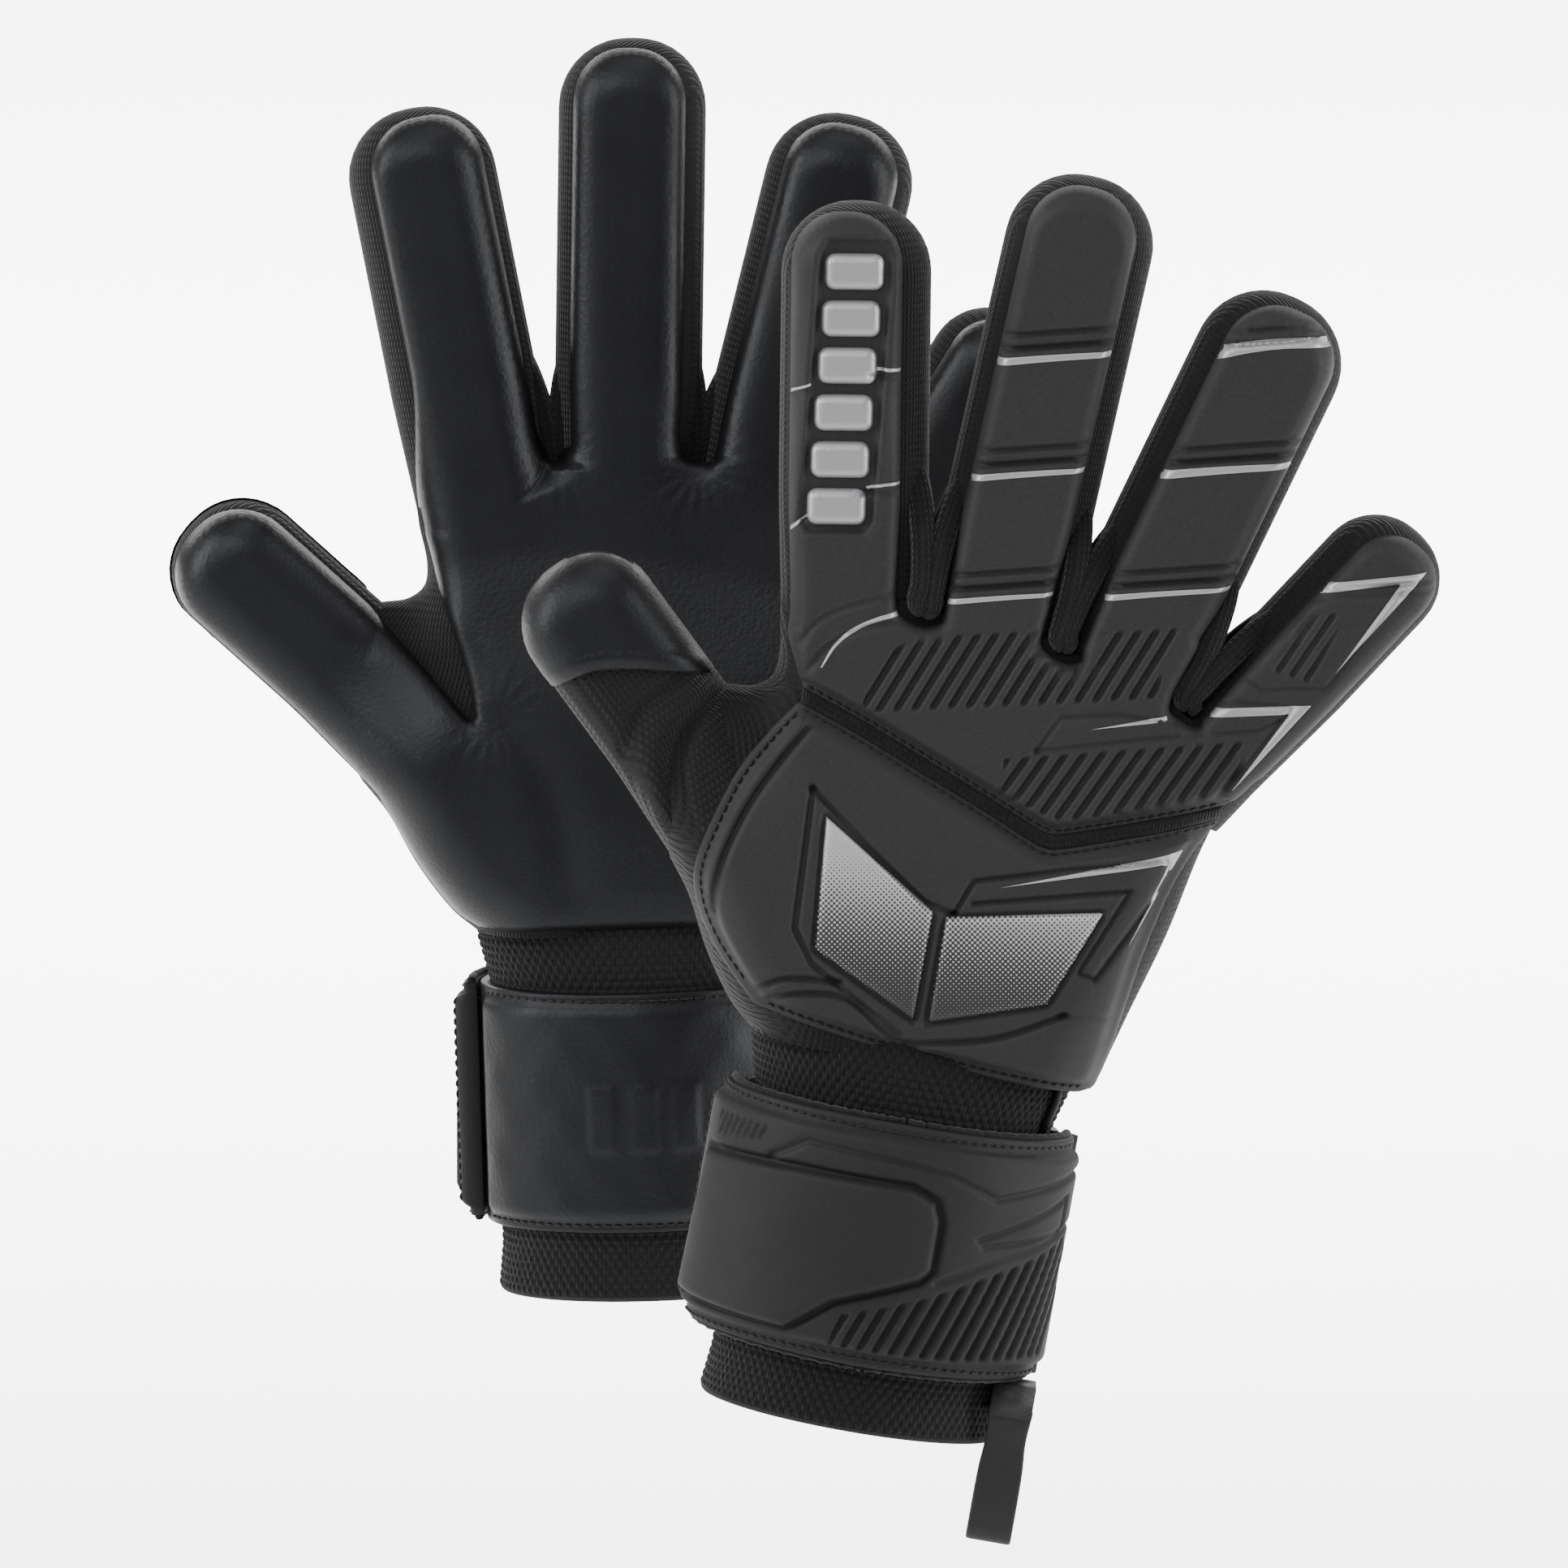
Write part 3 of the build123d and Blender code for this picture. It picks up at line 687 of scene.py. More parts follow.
def set_on(p, skin_height, palm):
    side = 1.0 if palm else -1.0
    return np.c_[p[:, 0], side * skin_height, p[:, 1]]


def owner(p, tris, stalls):
    """Which stall each triangle belongs to, or -1 for the hand."""
    c = p[tris].mean(1)
    best = np.full(len(c), -1)
    near = np.full(len(c), 1e9)
    for i, s in enumerate(stalls):
        u, w = s.local(c)
        hit = (w > 0) & (np.abs(u) < s.half + 3) & (np.abs(u) < near)
        best[hit] = i
        near[hit] = np.abs(u)[hit]
    return best


def cut_out(v, tris, uv, normals, keep):
    """Some of a sheet's triangles as a piece of their own."""
    t = tris[keep]
    ids = np.unique(t)
    at = np.zeros(len(v), int)
    at[ids] = np.arange(len(ids))
    return v[ids], at[t], uv[ids], normals[ids]


def share_out(v, tris, uv, who, stalls, part, node_end, hand_part, hand_node, material):
    """A sheet as one piece for each stall, named by its part, and one for the hand."""
    normals = normals_of(v, tris)
    for i, stall in enumerate((*stalls, None)):
        if stall is None:
            name, stands_for = hand_part, hand_node
        else:
            name, stands_for = f"{stall.name}_{part}", f"{stall.name}_{node_end}"
        pv, pt, puv, pn = cut_out(v, tris, uv, normals, who == (-1 if stall is None else i))
        made = add_piece(name, pv, pt, material, puv, pn)
        attach(made, None if stall else "hand", stall=stall, nodes=(stands_for,))


# Backhand: knuckle panel and four finger pads, moulded in one
SEAM_LINE = smooth(
    [
        (-38.4, 158.8), (-24, 153.8), (-9.0, 148.0), (6, 142.2), (17.0, 137.6), (20.6, 136.6), (24.5, 137.2),
        (41, 142.8), (57.8, 148.8)
    ]
)


def seam_offset(amount):
    return SEAM_LINE + np.array([0, amount])


PAD_INSETS = {"index": (2.2, 6.3), "middle": (4.0, 4.4), "ring": (5.2, 2.6), "little": (5.6, 1.9)}
pads = {s.name: s.outline(*PAD_INSETS[s.name], 1.5, 11.4 if s is not LITTLE else 9.4, 5, 5) for s in FINGERS}
UPPER = np.vstack([
    seam_offset(1.4)[0][None],
    smooth([(-40.0, 163.0), (-43.6, 171.0), (-44.6, 178.0)]),
    pads["index"],
    smooth([pads["index"][-1], (-20.2, 180.0), (-15.2, 178.2), (-10.8, 179.6), pads["middle"][0]])[1:-1],
    pads["middle"],
    smooth([pads["middle"][-1], (12.2, 178.4), (16.8, 175.8), (21.0, 176.4), pads["ring"][0]])[1:-1],
    pads["ring"],
    smooth([pads["ring"][-1], (42.4, 169.2), (46.0, 167.2), (49.4, 166.6), pads["little"][0]])[1:-1],
    pads["little"],
    smooth([(63.2, 155.6), (61.0, 152.6), (58.0, 150.4)]),
    seam_offset(1.4)[::-1][1:],
])


def stroke(p, line, width, level, sharp=1.0):
    """A groove (or ridge) along a line."""
    d = gap(np.array(line, float), p, closed=False)
    return level * np.exp(-((d / width) ** (2 * sharp)))


def tilt_line(x, z, half, angle=14.0, bow=0.0):
    t = math.radians(angle)
    return [
        (x + s * half * math.cos(t), z + s * half * math.sin(t) + bow * (1 - s * s))
        for s in (-1, -0.5, 0, 0.5, 1)
    ]


# Where the silver lines cross the pads: finger, distance up it, half length, line width
LINES = [
    (MIDDLE, 9.6, 1.1), (MIDDLE, 38.0, 1.3), (MIDDLE, 64.6, 1.5), (RING, 23.4, 1.2), (RING, 54.0, 1.7),
    (RING, 83.2, 2.3)
]


def flex_grooves(p):
    h = np.zeros(len(p))
    for stall, w, _ in LINES:
        for up, level in ((3.0, -1.7), (6.2, -1.3)):
            c = stall.point(0, w + up)
            h += stroke(p, tilt_line(c[0], c[1], 18), 0.62, level)
    for up in (5.5, 8.7):
        c = LITTLE.point(0, 45 + up)
        h += stroke(p, tilt_line(c[0], c[1], 15), 0.7, -0.8)
    return h


def ribs(p, region, lean, pitch, level):
    """Slots between slanted ribs, inside a region."""
    t = math.radians(lean)
    across = p[:, 0] * math.cos(t) - p[:, 1] * math.sin(t)
    phase = np.abs(((across / pitch) % 1) - 0.5) * 2
    slot = ease((phase - 0.34) / 0.5)
    inside = depth(np.array(region, float), p)
    return level * slot * ease(inside / 1.2)


RIBS_ONE = [
    (-24.2, 157.4), (-26.8, 162.4), (-21.4, 172.4), (-16.2, 176.2), (10.4, 182.6), (13.6, 176.0), (23.4, 176.8),
    (24.4, 184.6), (41.6, 188.6), (39.4, 180.6), (39.8, 171.6), (18.0, 166.6)
]
RIBS_TWO = [(8.0, 144.4), (7.4, 153.4), (59.6, 166.2), (61.0, 159.6), (58.4, 152.4), (40.5, 146.6), (22.7, 141.2)]
RIBS_THREE = [(62.4, 181.8), (65.0, 195.6), (77.6, 198.6), (72.2, 180.4)]
INDEX_FRAME = [
    INDEX.point(u, w) for u,
    w in ((-11.9, 21), (-10.4, 18.6), (2.4, 18.6), (4.2, 21), (8.2, 81), (6.6, 84.4), (-6.4, 84.4), (-8.0, 81))
]


def upper_relief(p):
    h = flex_grooves(p)
    h += ribs(p, RIBS_ONE, 22, 3.3, -1.3)
    h += ribs(p, RIBS_TWO, 26, 3.3, -1.3)
    h += ribs(p, RIBS_THREE, 24, 3.1, -1.0)
    frame_line = np.array(INDEX_FRAME)
    inside = depth(even(frame_line, 1.0), p)
    h += -1.5 * ease((inside + 0.3) / 1.1)
    h += 0.4 * np.exp(-(((inside + 1.1) / 0.7) ** 2))
    # Curved roll over the index knuckle
    h += stroke(p, smooth([(-38.8, 163), (-35.6, 169.6), (-29.5, 175.2), (-20.5, 178.8)]), 0.9, -1.0)
    h += stroke(p, smooth([(-41, 170), (-37.4, 176.4), (-31.0, 180.6), (-21.5, 184.6)]), 0.8, -0.8)
    # Short creases beside the index frame
    for a, b in (
        ((-36.0, 231.6), (-26, 233)), ((-34.6, 205.2), (-24, 207.4)), ((-56, 223.0), (-48.8, 226.0)),
        ((-50, 194.0), (-45.2, 197.6))
    ):
        h += stroke(p, [a, b], 0.7, -0.9)
    # Recess above the second row of ribs
    h += stroke(p, [(14.5, 155.8), (18.6, 164.0), (31, 166.8), (44.0, 167.0)], 0.6, -0.8)
    h += stroke(p, [(14.5, 155.8), (36, 162.0), (62.5, 168.6), (66.5, 171.6)], 0.6, -0.8)
    # Little finger: an angled frame
    h += stroke(p, [(69.5, 200.4), (89.6, 206.6), (75.5, 180.4), (61.0, 177.6), (58.4, 179.6)], 0.6, -0.7)
    h += stroke(p, [(50.5, 173.2), (69.2, 175.2), (59.0, 157.4)], 0.6, -0.7)
    return h


def flange(p, lines, width, d, tall, radius, low=SEWN_EDGE):
    """A pad that drops to a thin sewn edge along some of its sides."""
    s = gap(lines, p, closed=False)
    h = low + (tall - low) * dome((s - width) / radius)
    h = np.where(s < width, low, h)
    edge = dome(d / 0.8)
    rest = pad_height(d, tall, radius)
    near = s < width + radius + 2
    return np.where(near, np.minimum(h * edge, np.maximum(rest, low * edge)), rest)


def upper_surface(p):
    d = np.maximum(depth(UPPER, p), 0)
    h = flange(p, seam_offset(1.4), 2.0, d, PAD_TALL, 2.9)
    room = ease((h - 0.9) / 1.6)
    return body_skin(p, False) - 0.4 + h + upper_relief(p) * room * ease(d / 1.2)


p, t = fill(UPPER, 0.52)
v = set_on(p, upper_surface(p), False)
who = owner(p, t, FINGERS)
share_out(v, t, p, who, FINGERS, "pad", "back_pad", "knuckles", "knuckle_panel", "foam")

# Backhand panel below the seam
LOWER = np.vstack(
    [
        seam_offset(-1.4),
        smooth([(57.0, 146.4), (50.4, 132.0), (46.4, 116), (44.6, 104.0), (42.6, 88.0), (41.0, 82.4)])[1:],
        smooth([(38.5, 81.6), (16, 82.6), (-6.1, 84.4), (-24, 87.0), (-37.0, 89.2)])[1:],
        smooth(
            [
                (-40.6, 92.4), (-48.8, 101.0), (-54.0, 110.2), (-55.0, 120.5), (-50.4, 137.6), (-44.4, 149.0),
                (-39.4, 156.6)
            ]
        )[1:],
    ]
)
BADGE_LEFT = even([(-28.6, 134.0), (-1.6, 117.2), (-1.6, 92.6), (-26.0, 104.6)], 0.6)
BADGE_RIGHT = even([(1.4, 116.6), (35.6, 123.6), (26.8, 101.2), (1.4, 92.6)], 0.6)


def lower_relief(p):
    h = stroke(p, smooth([(-35.8, 152.6), (-45.2, 134.8), (-49.6, 119.0), (-48.4, 106.6), (-38.8, 93.4)]), 0.8, -1.9)
    h += stroke(p, smooth([(-37.3, 92.8), (-32.3, 96.6), (-26, 97.8), (-19.0, 98.3)]), 0.7, -1.7)
    h += stroke(
        p, smooth([(-36.0, 90.4), (-28.4, 94.0), (-17.0, 94.8), (-4.8, 87.6), (4.4, 88.6), (18, 92.4), (31.0, 99.6)]),
        0.7, -1.7
    )
    h += stroke(p, [(-32.6, 139.6), (-31.2, 108.4), (-26.0, 101.2), (-4.0, 88.8)], 0.7, -1.5)
    h += stroke(p, [(-32.6, 139.6), (-18.0, 128.8), (-4, 119.2), (3.0, 117.6)], 0.7, -1.5)
    h += stroke(
        p,
        [
            (3.0, 117.6), (6.0, 125.6), (26, 131.4), (47.2, 137.0), (48.6, 133.6), (36.2, 108.4), (32.4, 109.4),
            (40.6, 129.2), (6.6, 120.6)
        ],
        0.55, -1.5
    )
    h += stroke(p, [(30.0, 99.4), (41.0, 99.8)], 0.7, -0.8)
    inside = np.maximum(depth(BADGE_LEFT, p), depth(BADGE_RIGHT, p))
    h += -1.2 * ease((inside + 1.5) / 1.2)
    return h


def lower_surface(p):
    d = np.maximum(depth(LOWER, p), 0)
    h = SEWN_EDGE + (PAD_TALL - SEWN_EDGE) * dome((d - 2.2) / 3.0)
    h = np.where(d < 2.2, SEWN_EDGE * dome(d / 0.8), h)
    room = ease((h - 0.9) / 1.6)
    return body_skin(p, False) - 0.3 + h + lower_relief(p) * room


p, t = fill(LOWER, 0.6)
v = set_on(p, lower_surface(p), False)
attach(
    add_piece("back_panel", v, t, "foam", p.copy()), "hand", nodes=("backhand_panel",),
)

# Stretch band in the seam
band_outline = np.vstack([seam_offset(1.5), seam_offset(-1.5)[::-1]])
p, t = fill(band_outline, 0.6, (0.1, 0.35))
d = np.maximum(depth(band_outline, p), 0)
across = (p[:, 1] - np.interp(p[:, 0], SEAM_LINE[:, 0], SEAM_LINE[:, 1])) / 1.5
h = 0.5 + 0.9 * dome(d / 0.9) - 0.35 * (np.abs(np.sin(across * math.pi * 1.5)) < 0.35)
v = set_on(p, body_skin(p, False) - 0.3 + h, False)
attach(add_piece("seam_elastic", v, t, "elastic", p.copy()), "hand", nodes=("stretch_band",))

# Palm latex with its fingers and thumb, one sheet
PALM_INSETS = {"index": (5.6, 2.2), "middle": (3.2, 4.4), "ring": (3.4, 3.8), "little": (3.2, 2.6)}


def index_edge(w):
    return (0.1 + 0.9 * float(ease(np.array(w / 34.0))), 1.0)


faces = {}
for stall, radius, feet in (
    (INDEX, 11.4, (2, 16)), (MIDDLE, 11.6, (16, 16)), (RING, 11.6, (16, 16)), (LITTLE, 10.0, (16, 2))
):
    taper = index_edge if stall is INDEX else None
    faces[stall.name] = stall.outline(*PALM_INSETS[stall.name], 1.4, radius, *feet, taper)
thumb_face = THUMB.outline(0.9, 1.6, 0.9, 13.4, 0, 32)
PALM = np.vstack(
    [
        smooth([(-35.6, 83.6), (-41.0, 87.4), (-48.0, 97), (-54.0, 107.5)]),
        thumb_face,
        smooth([(-57.4, 156.4), (-54.4, 152.6), (-48.0, 145.6), (-41.0, 137.6), (-36.6, 132.4)]),
        smooth(
            [(-35.0, 132.0), (-35.8, 139.0), (-38.6, 149.5), (-41.6, 159.0), (-43.6, 168), faces["index"][0]]
        )[:-1],
        faces["index"],
        smooth([faces["index"][-1], (-17.6, 191.6), (-14.2, 190.4), (-11.6, 191.6), faces["middle"][0]])[1:-1],
        faces["middle"],
        smooth([faces["middle"][-1], (14.0, 188.6), (17.2, 187.0), (20.2, 187.4), faces["ring"][0]])[1:-1],
        faces["ring"],
        smooth([faces["ring"][-1], (45.2, 178.4), (48.2, 177.2), (51.2, 176.8), faces["little"][0]])[1:-1],
        faces["little"],
        smooth([(62.0, 154.6), (57.4, 149.0), (53.6, 138), (49.6, 118), (44.4, 99), (39.6, 83.6)]),
    ]
)


def palm_relief(p):
    # Soft folds where the palm creases, and pulls running out from the crotches
    h = stroke(p, smooth([(-27, 131), (-20, 120), (-16, 106), (-15, 94)]), 5.0, -0.9)
    h += stroke(p, smooth([(-40, 166), (-20, 170), (10, 166), (40, 158)]), 6.0, -0.5)
    for c, spread in (((-14.2, 190.4), 10), ((17.2, 187.0), 10), ((48.2, 177.2), 8), ((-31, 133), 9)):
        r = np.hypot(p[:, 0] - c[0], p[:, 1] - c[1])
        a = np.arctan2(p[:, 1] - c[1], p[:, 0] - c[0])
        h += 0.16 * np.sin(a * 17) * np.exp(-(((r - 4) / (spread * 0.6)) ** 2)) * ease(r / 3)
    h += 0.12 * np.sin(p[:, 0] * 0.13 + 1.3 * np.sin(p[:, 1] * 0.05)) * np.sin(p[:, 1] * 0.08 + 0.8)
    return h


def palm_surface(p):
    d = np.maximum(depth(PALM, p), 0)
    h = 2.5 * dome(d / 2.4) + 2.2 * dome(d / 10.5)
    valley = 1.0 * ease(1 - d / 11) * ease((p[:, 1] - 172) / 14)
    return body_skin(p, True) - 0.4 + h - 0.2 * valley + palm_relief(p) * ease(d / 4)


p, t = fill(PALM, 0.95)
v = set_on(p, palm_surface(p), True)
t = t[:, ::-1]
who = owner(p, t, (*FINGERS, THUMB))
c = p[t].mean(1)
up_thumb = THUMB.local(c)[1]
on_hand = (c[:, 1] < 158) & ~((up_thumb > 0) & (c[:, 0] < -33 - (c[:, 1] - 133) * 0.28))
who[(who == len(FINGERS)) & on_hand] = -1
share_out(v, t, p, who, (*FINGERS, THUMB), "face", "latex", "palm_face", "palm_latex", "latex")

# The thumb's latex comes over the tip to a folded seam on the back
wrap = np.vstack(
    [
        THUMB.outline(-0.3, -0.3, -0.4, 14.6, 50, 32),
        smooth(
            [
                THUMB.point(15.6, 31), THUMB.point(9, 37.5), THUMB.point(2, 43.5), THUMB.point(-6, 48.6),
                THUMB.point(-15.6, 50)
            ]
        )[1:-1],
    ]
)
p, t = fill(wrap, 0.9, (0.06, 0.25, 0.6, 1.2, 2.1, 3.2))
outer = np.maximum(depth(TUBES["thumb"], p) + 0.4, 0)
h = (THUMB_DEPTH + 2.6) * dome(outer / 11.5)
fold = smooth(
    [
        THUMB.point(16.5, 30.5), THUMB.point(9, 37.5), THUMB.point(2, 43.5), THUMB.point(-6, 48.6),
        THUMB.point(-17, 50.4)
    ]
)
s = gap(fold, p, closed=False)
h = h - 1.6 * (1 - dome(s / 2.6)) + 0.5 * np.exp(-(((s - 3.0) / 1.0) ** 2))
v = set_on(p, h, False)
attach(add_piece("thumb_wrap", v, t, "latex", p.copy()), stall=THUMB)


# ---------------------------------------------------------------- silver
def strip(line, widths):
    """An outline round a line whose width changes along it."""
    line = np.array(line, float)
    t = np.gradient(line, axis=0)
    t /= np.maximum(np.linalg.norm(t, axis=1)[:, None], 1e-9)
    side = np.stack([-t[:, 1], t[:, 0]], 1)
    w = np.interp(np.linspace(0, 1, len(line)), np.linspace(0, 1, len(widths)), widths)[:, None] / 2
    return np.vstack([line + side * w, (line - side * w)[::-1]])


def print_on(name, outlines, surface, stall=None, raise_by=0.22, step=0.5, material="silver", clip=None):
    parts = []
    for outline in outlines:
        p, t = fill(outline, step, (0.08, 0.22))
        d = np.maximum(depth(even(outline, 0.4), p), 0)
        v = set_on(p, surface(p) + 0.03 + (raise_by - 0.03) * dome(d / 0.28), False)
        if clip is not None:
            c = p[t].mean(1)
            t = t[depth(UPPER, c) > clip]
        parts.append((v, t, p.copy()))
    v, t, uv = join(parts)
    attach(add_piece(name, v, t, material, uv), "hand" if stall is None else None, stall=stall)


for stall in (MIDDLE, RING):
    shapes = []
    for owner_stall, w, wide in LINES:
        if owner_stall is not stall:
            continue
        c = stall.point(0, w)
        shapes.append(
            strip(
                smooth(tilt_line(c[0], c[1], 17.5, bow=0.3 if wide < 2 else 2.2), 0.8), (wide * 1.2, wide, wide * 0.8)
            )
        )
    print_on(f"{stall.name}_lines", shapes, upper_surface, stall, clip=0.35)

INDEX_LINES = [
    strip(smooth([(-35.0, 233.4), (-31, 233.9), (-25.0, 234.4)], 0.8), (0.8, 0.8)),
    strip(smooth([(-32.4, 206.8), (-29, 208.2), (-23.0, 209.6)], 0.8), (0.7, 0.7)),
    strip(smooth([(-54.6, 222.6), (-52.0, 225.4), (-48.6, 227.6)], 0.8), (0.7, 0.6)),
    strip(smooth([(-48.4, 193.0), (-46.0, 196.6), (-43.6, 199.2)], 0.8), (0.7, 0.5)),
]
print_on("index_lines", INDEX_LINES, upper_surface, INDEX, clip=0.3)
print_on(
    "knuckle_line",
    [strip(smooth([(-35.4, 165.8), (-33.0, 171.5), (-29.2, 175.6), (-24.6, 178.6), (-20.6, 180.4)], 0.8), (0.3, 1.0, 1.2))],
    upper_surface, clip=0.3
)

LITTLE_MARK = np.array([(69.3, 200.6), (70.1, 203.2), (92.9, 209.6), (76.8, 183.8), (87.6, 206.0)])
print_on("little_lines", [LITTLE_MARK], upper_surface, LITTLE, clip=0.3, step=0.45)
SIDE_MARK = np.array([(50.6, 171.6), (72.9, 176.2), (58.8, 154.4), (68.4, 173.4), (50.8, 169.6)])
print_on("side_mark", [SIDE_MARK], upper_surface, clip=0.3, step=0.45)
print_on("point_mark", [np.array([(25.6, 162.6), (41.8, 168.4), (42.2, 167.2)])], upper_surface, clip=0.3, step=0.4)

BACK_MARK = np.array([(12.0, 125.2), (50.6, 139.6), (42.3, 116.8), (47.8, 135.4), (46.6, 136.0)])
print_on("back_mark", [BACK_MARK], lower_surface, step=0.45)

# Six plain raised bars in the index finger's frame
BAR_COUNT, BAR_FIRST, BAR_PITCH = 6, 24.5, 10.5
BAR_HALF_LONG, BAR_HALF_TALL, BAR_CORNER = 6.6, 4.1, 2.2


def bar_outline(w):
    """A rounded bar across the index finger, w mm up it."""
    middle = -3.8 + 0.064 * (w - 24)
    pts = []
    for turn, (side, end) in enumerate(((1, 1), (-1, 1), (-1, -1), (1, -1))):
        u = middle + side * (BAR_HALF_LONG - BAR_CORNER)
        up = w + end * (BAR_HALF_TALL - BAR_CORNER)
        for a in np.radians(np.linspace(turn * 90, turn * 90 + 90, 6)):
            pts.append(INDEX.point(u + BAR_CORNER * math.cos(a), up + BAR_CORNER * math.sin(a)))
    return np.array(pts)


parts = []
for k in range(BAR_COUNT):
    outline = bar_outline(BAR_FIRST + k * BAR_PITCH)
    p, t = fill(outline, 0.5, (0.08, 0.3, 0.7, 1.2))
    d = np.maximum(depth(even(outline, 0.3), p), 0)
    v = set_on(p, upper_surface(p) - 0.3 + 2.3 * dome(d / 2.2), False)
    parts.append((v, t, p.copy()))
v, t, uv = join(parts)
attach(add_piece("index_bars", v, t, "silver", uv), stall=INDEX)

# A plain dotted badge on the backhand
parts = []
for facet in (BADGE_LEFT, BADGE_RIGHT):
    p, t = fill(facet, 0.7, (0.08, 0.3, 0.8, 1.5))
    d = np.maximum(depth(facet, p), 0)
    v = set_on(p, lower_surface(p) + 0.05 + 1.5 * dome(d / 1.6), False)
    parts.append((v, t, p.copy()))
v, t, uv = join(parts)
attach(add_piece("badge", v, t, "halftone", uv), "hand")


# ---------------------------------------------------------------- wrist
def ring_grid(zs, size, relief=None, steps=360, span=(0.0, 2 * math.pi)):
    """A tube round the wrist: zs heights, size(z) radii, relief(angle, z) mm outwards."""
    closed = abs(span[1] - span[0] - 2 * math.pi) < 1e-6
    n = int(steps / FINE)
    a = np.linspace(span[0], span[1], n, endpoint=not closed)
    ang, z = np.meshgrid(a, np.asarray(zs))
    ra, rb = size(z)
    nx, ny = np.cos(ang) / ra, np.sin(ang) / rb
    ln = np.hypot(nx, ny)
    out = relief(ang, z) if relief else 0
    x = ra * np.cos(ang) + out * nx / ln
    y = rb * np.sin(ang) + out * ny / ln
    v = np.stack([x, y, z], -1).reshape(-1, 3)
    rows, cols = z.shape
    idx = np.arange(rows * cols).reshape(rows, cols)
    right = np.roll(idx, -1, 1) if closed else idx[:, 1:]
    left = idx if closed else idx[:, :-1]
    q = [left[:-1].ravel(), right[:-1].ravel(), right[1:].ravel(), left[1:].ravel()]
    t = np.vstack([np.stack([q[0], q[1], q[2]], 1), np.stack([q[0], q[2], q[3]], 1)])
    uv = np.stack([(ang * 28).ravel(), z.ravel()], 1)
    return v, t, uv


def cuff_size(z):
    ra = np.interp(z, [0, 10, 68, 80, 90], [33.3, 32.4, 32.4, 35.6, 36.0])
    rb = np.interp(z, [0, 10, 68, 80, 90], [25.5, 24.4, 24.4, 21.6, 18.5])
    return ra, rb


def comb(ang, z):
    """Raised knit cells in a honeycomb."""
    s = ang * 28.6
    k = 2 * math.pi / 1.7
    c = np.cos(k * z) + np.cos(k * (0.5 * z + 0.866 * s)) + np.cos(k * (0.5 * z - 0.866 * s))
    return 0.42 * ease((c + 0.9) / 2.6) + 0.25 * np.sin(ang * 3 + z * 0.08)


CUFF_WALL = 2.6
step = 0.37 * FINE
low_zs = np.arange(0.8, 22, step)
high_zs = np.arange(62, 89, step)
covered_zs = np.array([21.9, 35, 50, 62.1])
outer_low = ring_grid(low_zs, cuff_size, comb, 640)
outer_mid = ring_grid(covered_zs, cuff_size, None, 120)
outer_high = ring_grid(high_zs, cuff_size, comb, 640)
inner_v, inner_t, inner_uv = ring_grid(
    np.linspace(0.8, 86, 24), lambda z: [half - CUFF_WALL for half in cuff_size(z)], None, 160
)


def hem(radius=1.35, steps=200):
    n = int(steps / FINE)
    a = np.linspace(0, 2 * math.pi, n, endpoint=False)
    b = np.linspace(0, 2 * math.pi, 13)[:-1]
    A, B = np.meshgrid(a, b)
    ra, rb = 33.3 - 1.3 + radius * np.cos(B), 25.5 - 1.3 + radius * np.cos(B)
    x, y = ra * np.cos(A), rb * np.sin(A)
    z = 0.9 + radius * 0.9 * np.sin(B)
    v = np.stack([x, y, z], -1).reshape(-1, 3)
    rows, cols = A.shape
    idx = np.arange(rows * cols).reshape(rows, cols)
    nxt, up = np.roll(idx, -1, 1), np.roll(idx, -1, 0)
    diag = np.roll(nxt, -1, 0)
    t = np.vstack(
        [np.stack([idx.ravel(), nxt.ravel(), diag.ravel()], 1), np.stack([idx.ravel(), diag.ravel(), up.ravel()], 1)]
    )
    return v, t, np.stack([(A * 28).ravel(), (B * 2).ravel()], 1)


v, t, uv = join([outer_low, outer_mid, outer_high, (inner_v, inner_t[:, ::-1], inner_uv), hem()])
attach(add_piece("cuff_knit", v, t, "cuff", uv), "hand", nodes=("cuff",))

def tube(points, radius, sides=8, flat=1.0):
    """A cord-like edge through 3-D points; the radius may change from point to point."""
    p = np.array(points, float)
    radius = np.broadcast_to(np.asarray(radius, float), len(p))[:, None]
    t = np.gradient(p, axis=0)
    t /= np.linalg.norm(t, axis=1)[:, None]
    up = np.array([0.0, 1.0, 0.0]) if abs(t[0, 1]) < 0.8 else np.array([1.0, 0, 0])
    a = np.cross(t, up)
    a /= np.linalg.norm(a, axis=1)[:, None]
    b = np.cross(t, a)
    rings = []
    for k in range(sides):
        q = 2 * math.pi * k / sides
        rings.append(p + radius * math.cos(q) * a + radius * flat * math.sin(q) * b)
    v = np.stack(rings, 1).reshape(-1, 3)
    n = len(p)
    tris = []
    for i in range(n - 1):
        for k in range(sides):
            m = (k + 1) % sides
            q = (i * sides + k, i * sides + m, (i + 1) * sides + m, (i + 1) * sides + k)
            tris += [(q[0], q[1], q[2]), (q[0], q[2], q[3])]
    for k in range(1, sides - 1):
        tris.append((0, k + 1, k))
        tris.append(((n - 1) * sides, (n - 1) * sides + k, (n - 1) * sides + k + 1))
    return v, np.array(tris), np.stack(
        [np.tile(np.arange(sides), n), np.repeat(np.arange(n), sides)], 1
    ).astype(float)
